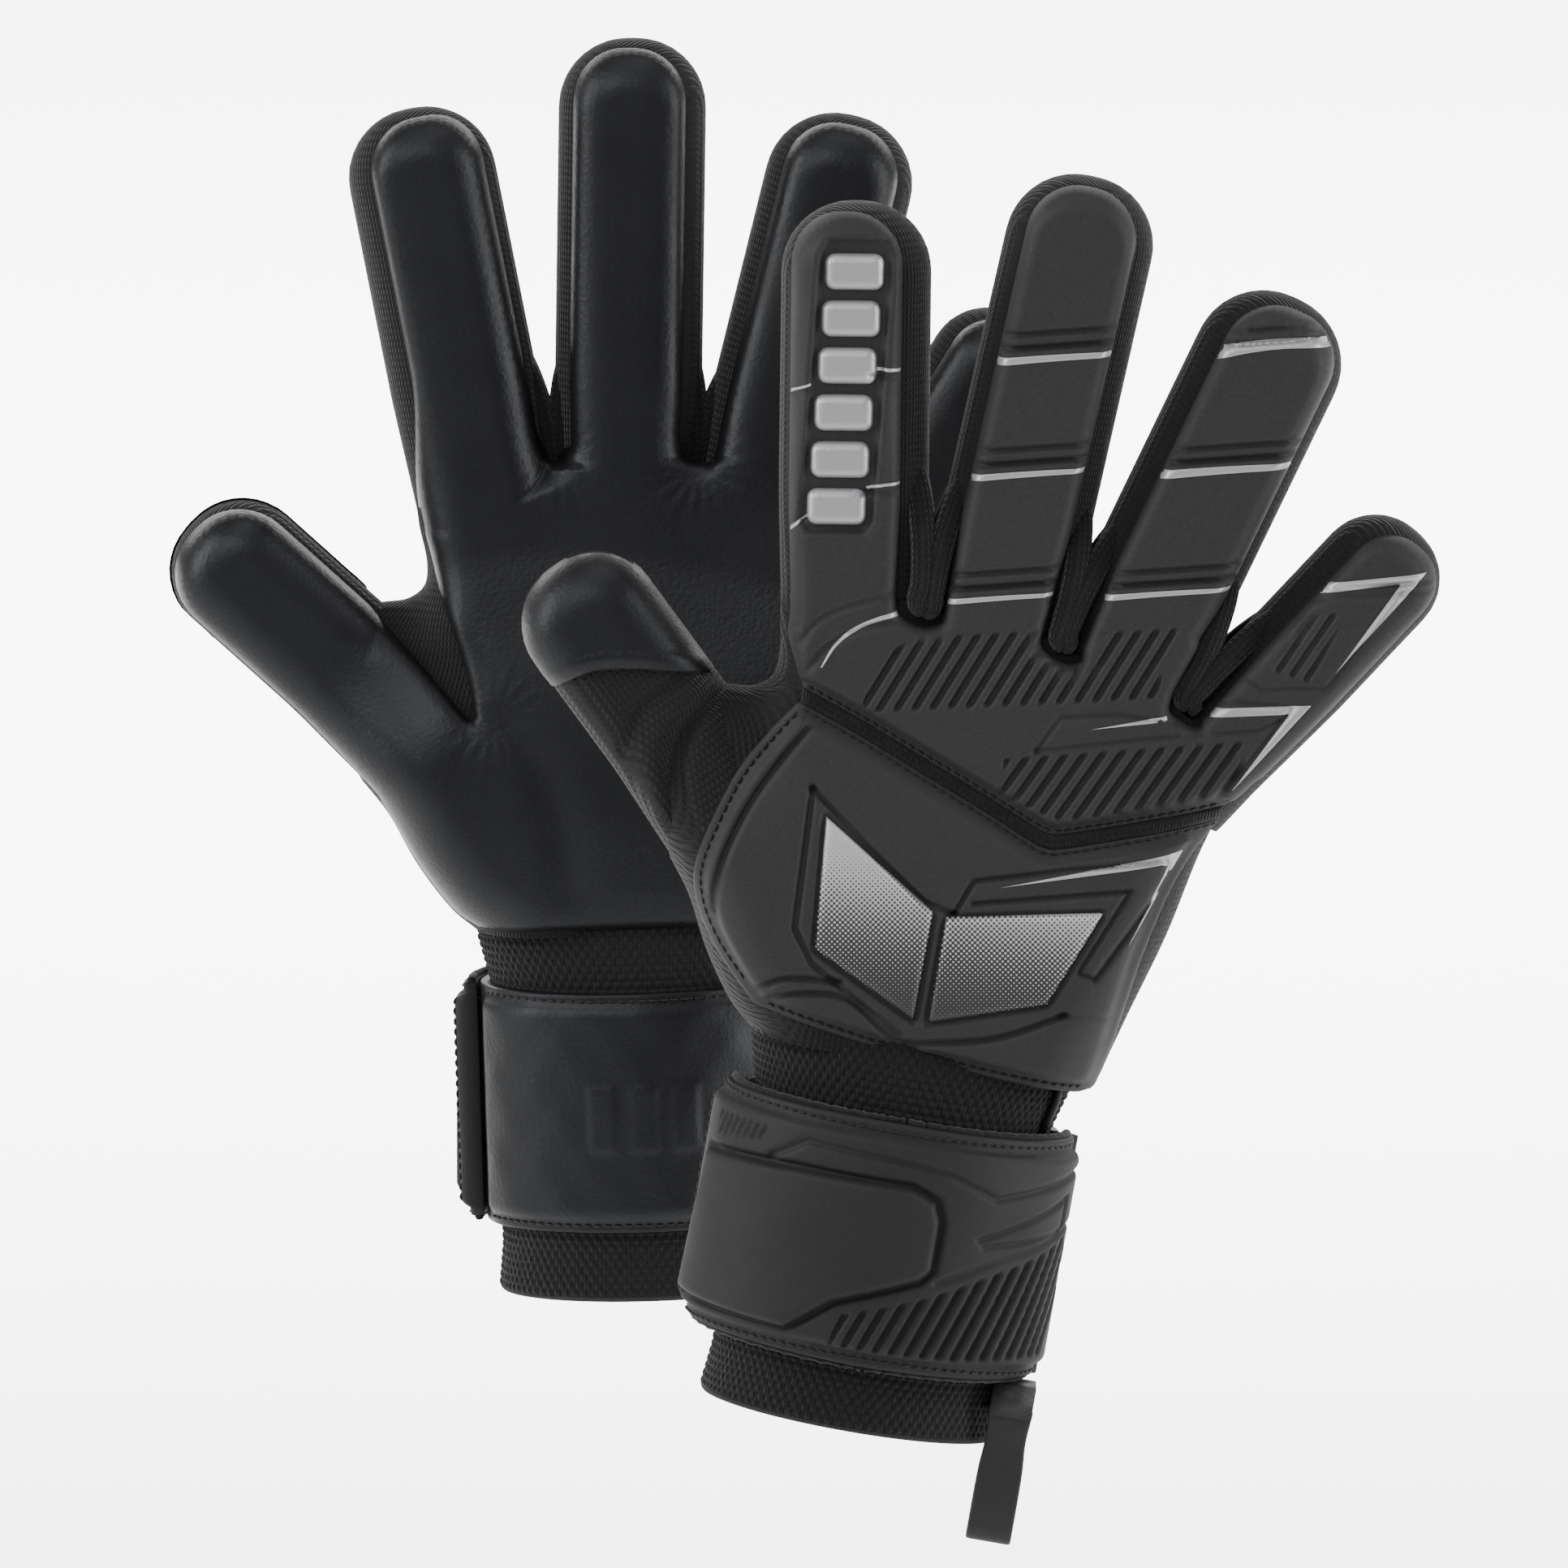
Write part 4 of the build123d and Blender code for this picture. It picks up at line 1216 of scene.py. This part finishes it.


# Folded knit rolls hang over the pads where two fingers part; each leg goes into its own finger's piece
legs = {stall.name: [] for stall in FINGERS}
for one, other, foot in (
    (INDEX, MIDDLE, (-15.2, 180.6)), (MIDDLE, RING, (16.6, 178.2)), (RING, LITTLE, (46.2, 170.0))
):
    foot = np.array(foot)
    for stall, side in ((one, 1), (other, -1)):
        low = stall.point(side * (stall.width(7) - 0.6), 7)
        path = [foot, foot + 0.55 * (low - foot) + np.array([-side * 0.9, -0.9]), low]
        for w, inset in ((13, 0.6), (20, 1.2), (28, 2.6), (36, 5.0)):
            path.append(stall.point(side * (stall.width(w) - inset), w))
        line = smooth(path, 0.8)
        climb = np.clip(stall.local(line)[1] / 36, 0, 1)
        deep = -11.2 + 1.4 * ease(climb / 0.5) + 5.8 * ease((climb - 0.45) / 0.55)
        thick = 2.8 * (0.32 + 0.68 * dome(np.arange(len(line)) / 9))
        legs[stall.name].append(tube(np.c_[line[:, 0], deep, line[:, 1]], thick, 14))
        legs[stall.name].append(tube(np.c_[line[:, 0], deep * -0.35 - 1.0, line[:, 1]], 2.9, 10))
for stall in FINGERS:
    v, t, uv = join(legs[stall.name])
    attach(add_piece(f"{stall.name}_roll", v, t, "gusset", uv * np.array([1.3, 0.8])), stall=stall)

# Bound edge of the slit above the strap, on the little finger side
v, t, uv = tube([(33.2, -9.8, 84.5), (32.9, -9.4, 78.0), (30.9, -9.2, 70.0)], 0.9, 8, 1.4)
attach(add_piece("slit_edge", v, t, "binding", uv), "hand", nodes=("cuff_slit_binding",))


# Straps: a flat shape (distance round the wrist, height) wrapped on an ellipse
class Wrap:
    def __init__(self, shift, ra, rb, start, end, side):
        a = np.linspace(start, end, 2000)
        self.x, self.y = shift + ra * np.cos(a), side * rb * np.sin(a)
        nx, ny = np.cos(a) / ra, side * np.sin(a) / rb
        ln = np.hypot(nx, ny)
        self.nx, self.ny = nx / ln, ny / ln
        self.s = np.r_[0, np.cumsum(np.hypot(np.diff(self.x), np.diff(self.y)))]
        self.angle = a
        self.shift, self.ra = shift, ra
        self.length = self.s[-1]

    def at(self, x):
        """Distance round for a place seen from the front."""
        a = np.arccos(np.clip((np.asarray(x) - self.shift) / self.ra, -1, 1))
        return np.interp(a, self.angle, self.s)

    def place(self, p, h):
        x = np.interp(p[:, 0], self.s, self.x) + h * np.interp(p[:, 0], self.s, self.nx)
        y = np.interp(p[:, 0], self.s, self.y) + h * np.interp(p[:, 0], self.s, self.ny)
        return np.c_[x, y, p[:, 1]]


def wrapped(wrap, outline, height, step, under):
    """A closed strap: face with relief, plain inside and a rounded edge."""
    p, t = fill(outline, step)
    d = np.maximum(depth(outline, p), 0)
    face = wrap.place(p, height(p, d))
    back = wrap.place(p, np.full(len(p), under) + 0.5 * (1 - dome(d / 0.6)))
    v, tris = np.vstack([face, back]), two_layers(t, len(p))
    # The face's triangles look outwards
    c = v[tris[: len(tris) // 4]]
    turned = np.cross(c[:, 1] - c[:, 0], c[:, 2] - c[:, 0])
    outward = (turned * c.mean(1) * np.array([1, 1, 0])).sum() > 0
    return v, tris if outward else tris[:, ::-1], np.vstack([p, p])


back_wrap = Wrap(-0.4, 38.2, 29.5, 0.03, math.pi + 0.10, -1.0)
STRAP_LOW, STRAP_HIGH = 15.4, 70.6
BACK_LONG = back_wrap.length


def on_strap(points):
    """Places seen from the front, as distance round and height."""
    return np.array([(float(back_wrap.at(x)), z) for x, z in points])


back_strap_outline = np.array(
    [
        (0.4, STRAP_LOW + 0.6),
        (BACK_LONG * 0.5, STRAP_LOW),
        (BACK_LONG - 1.5, STRAP_LOW + 1.2),
        (BACK_LONG, STRAP_LOW + 3),
        (BACK_LONG, STRAP_HIGH - 3),
        (BACK_LONG - 1.5, STRAP_HIGH - 0.8),
        (BACK_LONG * 0.5, STRAP_HIGH),
        (0.4, STRAP_HIGH - 0.4),
    ]
)
STRAP_PAD = on_strap(
    [
        (-37.6, 54.6), (-20, 56.4), (4.0, 56.8), (9.2, 54.6), (10.8, 50.4), (10.8, 39.4), (8.6, 37.0), (-8.5, 29.4),
        (-13.8, 24.6), (-17.5, 21.4), (-38.4, 22.0)
    ]
)
STRAP_RIBS = on_strap(
    [(-8.4, 18.8), (-6.6, 26.8), (9.6, 33.0), (24, 40.4), (37.2, 49.0), (38.2, 40.6), (36.6, 21.6), (19.4, 19.4)]
)


def back_strap_height(p, d):
    edge = np.minimum(STRAP_HIGH - p[:, 1], p[:, 1] - STRAP_LOW)
    ends = dome(p[:, 0] / 3.0) * dome((BACK_LONG - p[:, 0]) / 2.4)
    h = 0.9 * dome(d / 0.7) + 2.1 * dome((edge - 3.4) / 2.4) * ends
    inside = depth(STRAP_PAD, p)
    h += 1.5 * dome((inside + 0.2) / 2.2) * (inside > -0.2) - 1.5 * np.exp(
        -(((inside + 0.7) / 0.8) ** 2)
    ) * ease((edge - 4) / 2)
    t = math.radians(20)
    across = -p[:, 0] * math.cos(t) - p[:, 1] * math.sin(t)
    phase = np.abs(((across / 3.15) % 1) - 0.5) * 2
    h -= 1.5 * ease((phase - 0.34) / 0.5) * ease(depth(STRAP_RIBS, p) / 1.2)
    small = depth(on_strap([(-37.0, 58.2), (-27.5, 60.4), (-26.5, 64.2), (-36.8, 64.4)]), p)
    phase = np.abs(((across / 1.9) % 1) - 0.5) * 2
    h -= 0.7 * ease((phase - 0.4) / 0.35) * ease(small / 0.7)
    h += stroke(p, on_strap([(-26.0, 57.8), (-19.0, 63.2), (0, 62.6), (12, 61.2), (22, 57.0), (38, 63.6)]), 0.8, -1.0)
    h += stroke(p, on_strap([(19.8, 47.4), (36.4, 57.4), (36.2, 50.0), (21.0, 46.0)]), 0.6, -0.9)
    h += stroke(p, on_strap([(12.4, 36.8), (24.0, 43.0), (38.0, 51.8)]), 0.7, -0.7)
    return h


v, t, uv = wrapped(back_wrap, back_strap_outline, back_strap_height, 0.55, -2.2)
attach(
    add_piece("strap_back", v, t, "strap_foam", uv), "strap", nodes=("back_strap",),
)

# A fuzzy lining lip follows the strap's two long edges and peeps out beyond them
lip = []
s = np.linspace(1.0, BACK_LONG - 1.5, 120)
for edge_z, beyond in ((back_strap_outline[[7, 6, 5]], 0.3), (back_strap_outline[:3], -0.2)):
    z = np.interp(s, edge_z[:, 0], edge_z[:, 1]) + beyond
    line = back_wrap.place(np.c_[s, z], np.full(120, -1.0))
    line[:, 2] += 0.18 * np.sin(s * 2.1) * np.sin(s * 0.7)
    lip.append(tube(line, 0.85, 8, 1.2))
v, t, uv = join(lip)
attach(add_piece("strap_lining", v, t, "lining", uv), "strap")

palm_wrap = Wrap(0.0, 35.0, 27.0, 0.03, math.pi + 0.42, 1.0)


def palm_strap_height(p, d):
    edge = np.minimum(STRAP_HIGH - p[:, 1], p[:, 1] - STRAP_LOW)
    h = 0.7 * dome(d / 0.7) + 1.7 * dome((edge - 3.2) / 2.6) * dome(p[:, 0] / 2.5) * ease(
        (palm_wrap.length - 17 - p[:, 0]) / 4
    )
    # Three plain bars stand up from the strap
    for k in range(3):
        beside = np.abs(p[:, 0] - palm_wrap.length * 0.44 - 9 + k * 9)
        inside = np.minimum(3.0 - beside, 7.5 - np.abs(p[:, 1] - 42))
        h += 0.5 * ease((inside + 0.2) / 0.8) * (beside < 3.0)
    h += 0.12 * np.sin(p[:, 0] * 0.5) * np.sin(p[:, 1] * 0.35)
    return h


palm_outline = np.array(
    [
        (0.4, STRAP_LOW + 0.4), (palm_wrap.length - 3, STRAP_LOW + 0.4), (palm_wrap.length, STRAP_LOW + 4),
        (palm_wrap.length, STRAP_HIGH - 4), (palm_wrap.length - 3, STRAP_HIGH - 0.6), (0.4, STRAP_HIGH - 0.6)
    ]
)
v, t, uv = wrapped(palm_wrap, palm_outline, palm_strap_height, 1.1, -2.3)
attach(add_piece("strap_palm", v, t, "latex", uv), "hand", nodes=("palm_strap",))

# The strap's fold at the little finger side, where it hinges
fold_zs = np.linspace(STRAP_LOW + 0.6, STRAP_HIGH - 0.6, 24)
v, t, uv = tube(np.c_[np.full(24, 37.3), np.zeros(24), fold_zs], 2.15, 16)
attach(add_piece("strap_fold", v, t, "strap_foam", uv), "hand")


LOOP_X, LOOP_Y, LOOP_TOP, LOOP_FOOT = 35.0, -14.8, 9.4, -20.4
LOOP_HALF_WIDE, LOOP_HALF_THICK = 5.0, 0.45
BAND_SECTION = ((-LOOP_HALF_WIDE, 0.25), (-LOOP_HALF_WIDE + 0.25, 0.775), (-LOOP_HALF_WIDE + 0.9, 1.0))


def band_loop():
    """A folded band: sewn together over its upper part, open below."""
    down = np.linspace(LOOP_TOP, LOOP_FOOT + 3.0, 26)
    spread = 0.55 + 1.5 * ease((2.0 - down) / 16)
    round_foot = np.radians(np.linspace(200, 340, 9))
    foot = np.c_[LOOP_Y + 2.1 * np.cos(round_foot), LOOP_FOOT + 2.4 + 2.4 * np.sin(round_foot)]
    path = np.vstack([np.c_[LOOP_Y - spread, down], foot, np.c_[LOOP_Y + spread, down][::-1]])
    t = np.gradient(path, axis=0)
    t /= np.maximum(np.linalg.norm(t, axis=1)[:, None], 1e-9)
    side = np.stack([-t[:, 1], t[:, 0]], 1) * LOOP_HALF_THICK
    waist = 1 - 0.10 * np.exp(-(((path[:, 1] - 2.5) / 5) ** 2))
    section = [*BAND_SECTION, *((-x, thick) for x, thick in BAND_SECTION[::-1])]
    section = [(x, thick) for x, thick in section] + [(x, -thick) for x, thick in section[::-1]]
    rows = []
    for x, thick in section:
        q = path + side * thick
        rows.append(np.c_[LOOP_X + x * waist, q[:, 0], q[:, 1]])
    n, count = len(path), len(section)
    tris = []
    for a in range(count):
        b = (a + 1) % count
        for i in range(n - 1):
            q = (a * n + i, a * n + i + 1, b * n + i + 1, b * n + i)
            tris += [(q[0], q[1], q[2]), (q[0], q[2], q[3])]
    v = np.vstack(rows)
    return v, np.array(tris), v[:, [0, 2]].copy()


v, t, uv = band_loop()
attach(add_piece("pull_band", v, t, "band", uv), "loop", nodes=("pull_loop",))

v = np.array([(x, y, z) for x in (30.3, 39.7) for y in (-16.4, -4.2) for z in (7.6, 14.8)])
sides = ((0, 1, 3, 2), (4, 6, 7, 5), (0, 4, 5, 1), (2, 3, 7, 6), (0, 2, 6, 4), (1, 5, 7, 3))
t = np.array([tri for a, b, c, d in sides for tri in ((a, b, c), (a, c, d))])
uv = v[:, [0, 2]]
attach(add_piece("pull_tab", v, t, "band", uv), "hand", nodes=("pull_loop_tab",))


# ---------------------------------------------------------------- stitches
def stitches(points, outward, length=1.75, pitch=2.35, radius=0.27):
    """Short sewn threads along a 3-D line. outward gives the way off the surface at each point."""
    p = np.array(points, float)
    d = np.r_[0, np.cumsum(np.linalg.norm(np.diff(p, axis=0), axis=1))]
    parts = []
    for s in np.arange(0.8, d[-1] - length, pitch):
        q = np.linspace(s, s + length, 5)
        line = np.stack([np.interp(q, d, p[:, k]) for k in range(3)], 1)
        o = np.stack([np.interp(q, d, outward[:, k]) for k in range(3)], 1)
        line = line + o * (np.array([-0.25, 0.12, 0.2, 0.12, -0.25])[:, None])
        parts.append(tube(line, radius, 6))
    return parts


def seam_stitches(line, surface):
    v = set_on(line, surface(line), False)
    return stitches(v, np.tile([0.0, -1.0, 0.0], (len(v), 1)))


def strap_stitches(wrap, height, line, d):
    """Stitches along a line on a strap's face; d is the line's distance from the strap's edge."""
    face = height(line, d)
    v = wrap.place(line, face)
    return stitches(v, wrap.place(line, face + 1.0) - v)


panel_side = smooth(
    [(-39.6, 93.8), (-47.4, 102.0), (-52.5, 110.8), (-53.5, 120.2), (-49.0, 137.0), (-43.2, 148.2), (-38.6, 155.4)]
)
panel_foot = smooth([(38.0, 83.1), (16, 84.0), (-6.1, 85.8), (-24, 88.4), (-36.0, 90.4)])
sewn = seam_stitches(even(seam_offset(2.4), 0.8, False), upper_surface)
for line in (seam_offset(-2.5), panel_side, panel_foot):
    sewn += seam_stitches(even(line, 0.8, False), lower_surface)
v, t, uv = join(sewn)
attach(add_piece("hand_stitches", v, t, "thread", uv), "hand")

sewn = []
for z in (STRAP_HIGH - 1.9, STRAP_LOW + 1.9):
    line = np.c_[np.linspace(2.0, BACK_LONG - 2.5, 160), np.full(160, z)]
    d = np.maximum(depth(back_strap_outline, line), 0)
    sewn += strap_stitches(back_wrap, back_strap_height, line, d)
line = np.c_[np.full(60, BACK_LONG - 1.9), np.linspace(STRAP_LOW + 4, STRAP_HIGH - 4, 60)]
sewn += strap_stitches(back_wrap, back_strap_height, line, np.full(60, 2.0))
v, t, uv = join(sewn)
attach(add_piece("strap_stitches", v, t, "thread", uv), "strap")

sewn = []
for z in (STRAP_HIGH - 2.1, STRAP_LOW + 2.1):
    line = np.c_[np.linspace(2.0, palm_wrap.length - 18, 160), np.full(160, z)]
    sewn += strap_stitches(palm_wrap, palm_strap_height, line, np.full(160, 2.0))
v, t, uv = join(sewn)
attach(add_piece("palm_strap_stitches", v, t, "thread", uv), "hand")

# Hook and loop tapes keep their CAD shape, with a fabric look
for hand in HANDS:
    for name in ("strap_loop_tape", "strap_hook_tape"):
        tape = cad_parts[f"{hand}_{name}"]
        tape.data.materials.clear()
        tape.data.materials.append(MATERIALS["lining"])

# ---------------------------------------------------------------- floor, light and camera
floor_mesh = bpy.data.meshes.new("floor")
low, reach = -0.35, 45.0
corners = [(-reach, -reach, low), (reach, -reach, low), (reach, reach, low), (-reach, reach, low)]
floor_mesh.from_pydata(corners, [], [(0, 1, 2, 3)])
floor = bpy.data.objects.new("floor", floor_mesh)
ROOT.objects.link(floor)
shader("paper", (0.93, 0.93, 0.93), 0.9)
floor_mesh.materials.append(MATERIALS["paper"])


def soft_light(name, at, aim, size, power, tint=(1, 1, 1)):
    data = bpy.data.lights.new(name, "AREA")
    data.shape = "RECTANGLE"
    data.size, data.size_y = size
    data.energy = power
    data.color = tint
    obj = bpy.data.objects.new(name, data)
    ROOT.objects.link(obj)
    obj.location = at
    obj.rotation_euler = (Vector(aim) - Vector(at)).to_track_quat("-Z", "Y").to_euler()
    return obj


soft_light("key", (-0.7, -1.5, 1.5), (0, 0.05, 0.12), (1.1, 1.1), 20)
soft_light("left_strip", (-1.25, -0.25, 0.60), (0, 0.08, 0.16), (0.45, 1.1), 15)
soft_light("right_strip", (1.25, -0.25, 0.30), (0, 0.08, 0.13), (0.45, 1.5), 17)
soft_light("top", (0.1, 0.0, 1.9), (0, 0.08, 0.1), (1.4, 1.0), 7)
soft_light("backdrop", (0, 3.4, 1.7), (0, 4.0, -0.2), (6.0, 2.6), 980)
world = bpy.data.worlds.new("studio")
bpy.context.scene.world = world
world.use_nodes = True
world.node_tree.nodes["Background"].inputs["Color"].default_value = (1, 1, 1, 1)
world.node_tree.nodes["Background"].inputs["Strength"].default_value = 0.42

elevation = math.radians(9.0)
forward = Vector((0, math.cos(elevation), -math.sin(elevation)))
upward = Vector((0, math.sin(elevation), math.cos(elevation)))
target = Vector((-0.01422, 0, 0)) + upward * 0.1393
camera_data = bpy.data.cameras.new("camera")
camera_data.sensor_width = 36.0
distance = 12.0
camera_data.lens = 36.0 * distance / 0.34776
camera_data.clip_end = 40
camera = bpy.data.objects.new("camera", camera_data)
ROOT.objects.link(camera)
camera.location = target - forward * distance
camera.rotation_euler = forward.to_track_quat("-Z", "Y").to_euler()
bpy.context.scene.camera = camera
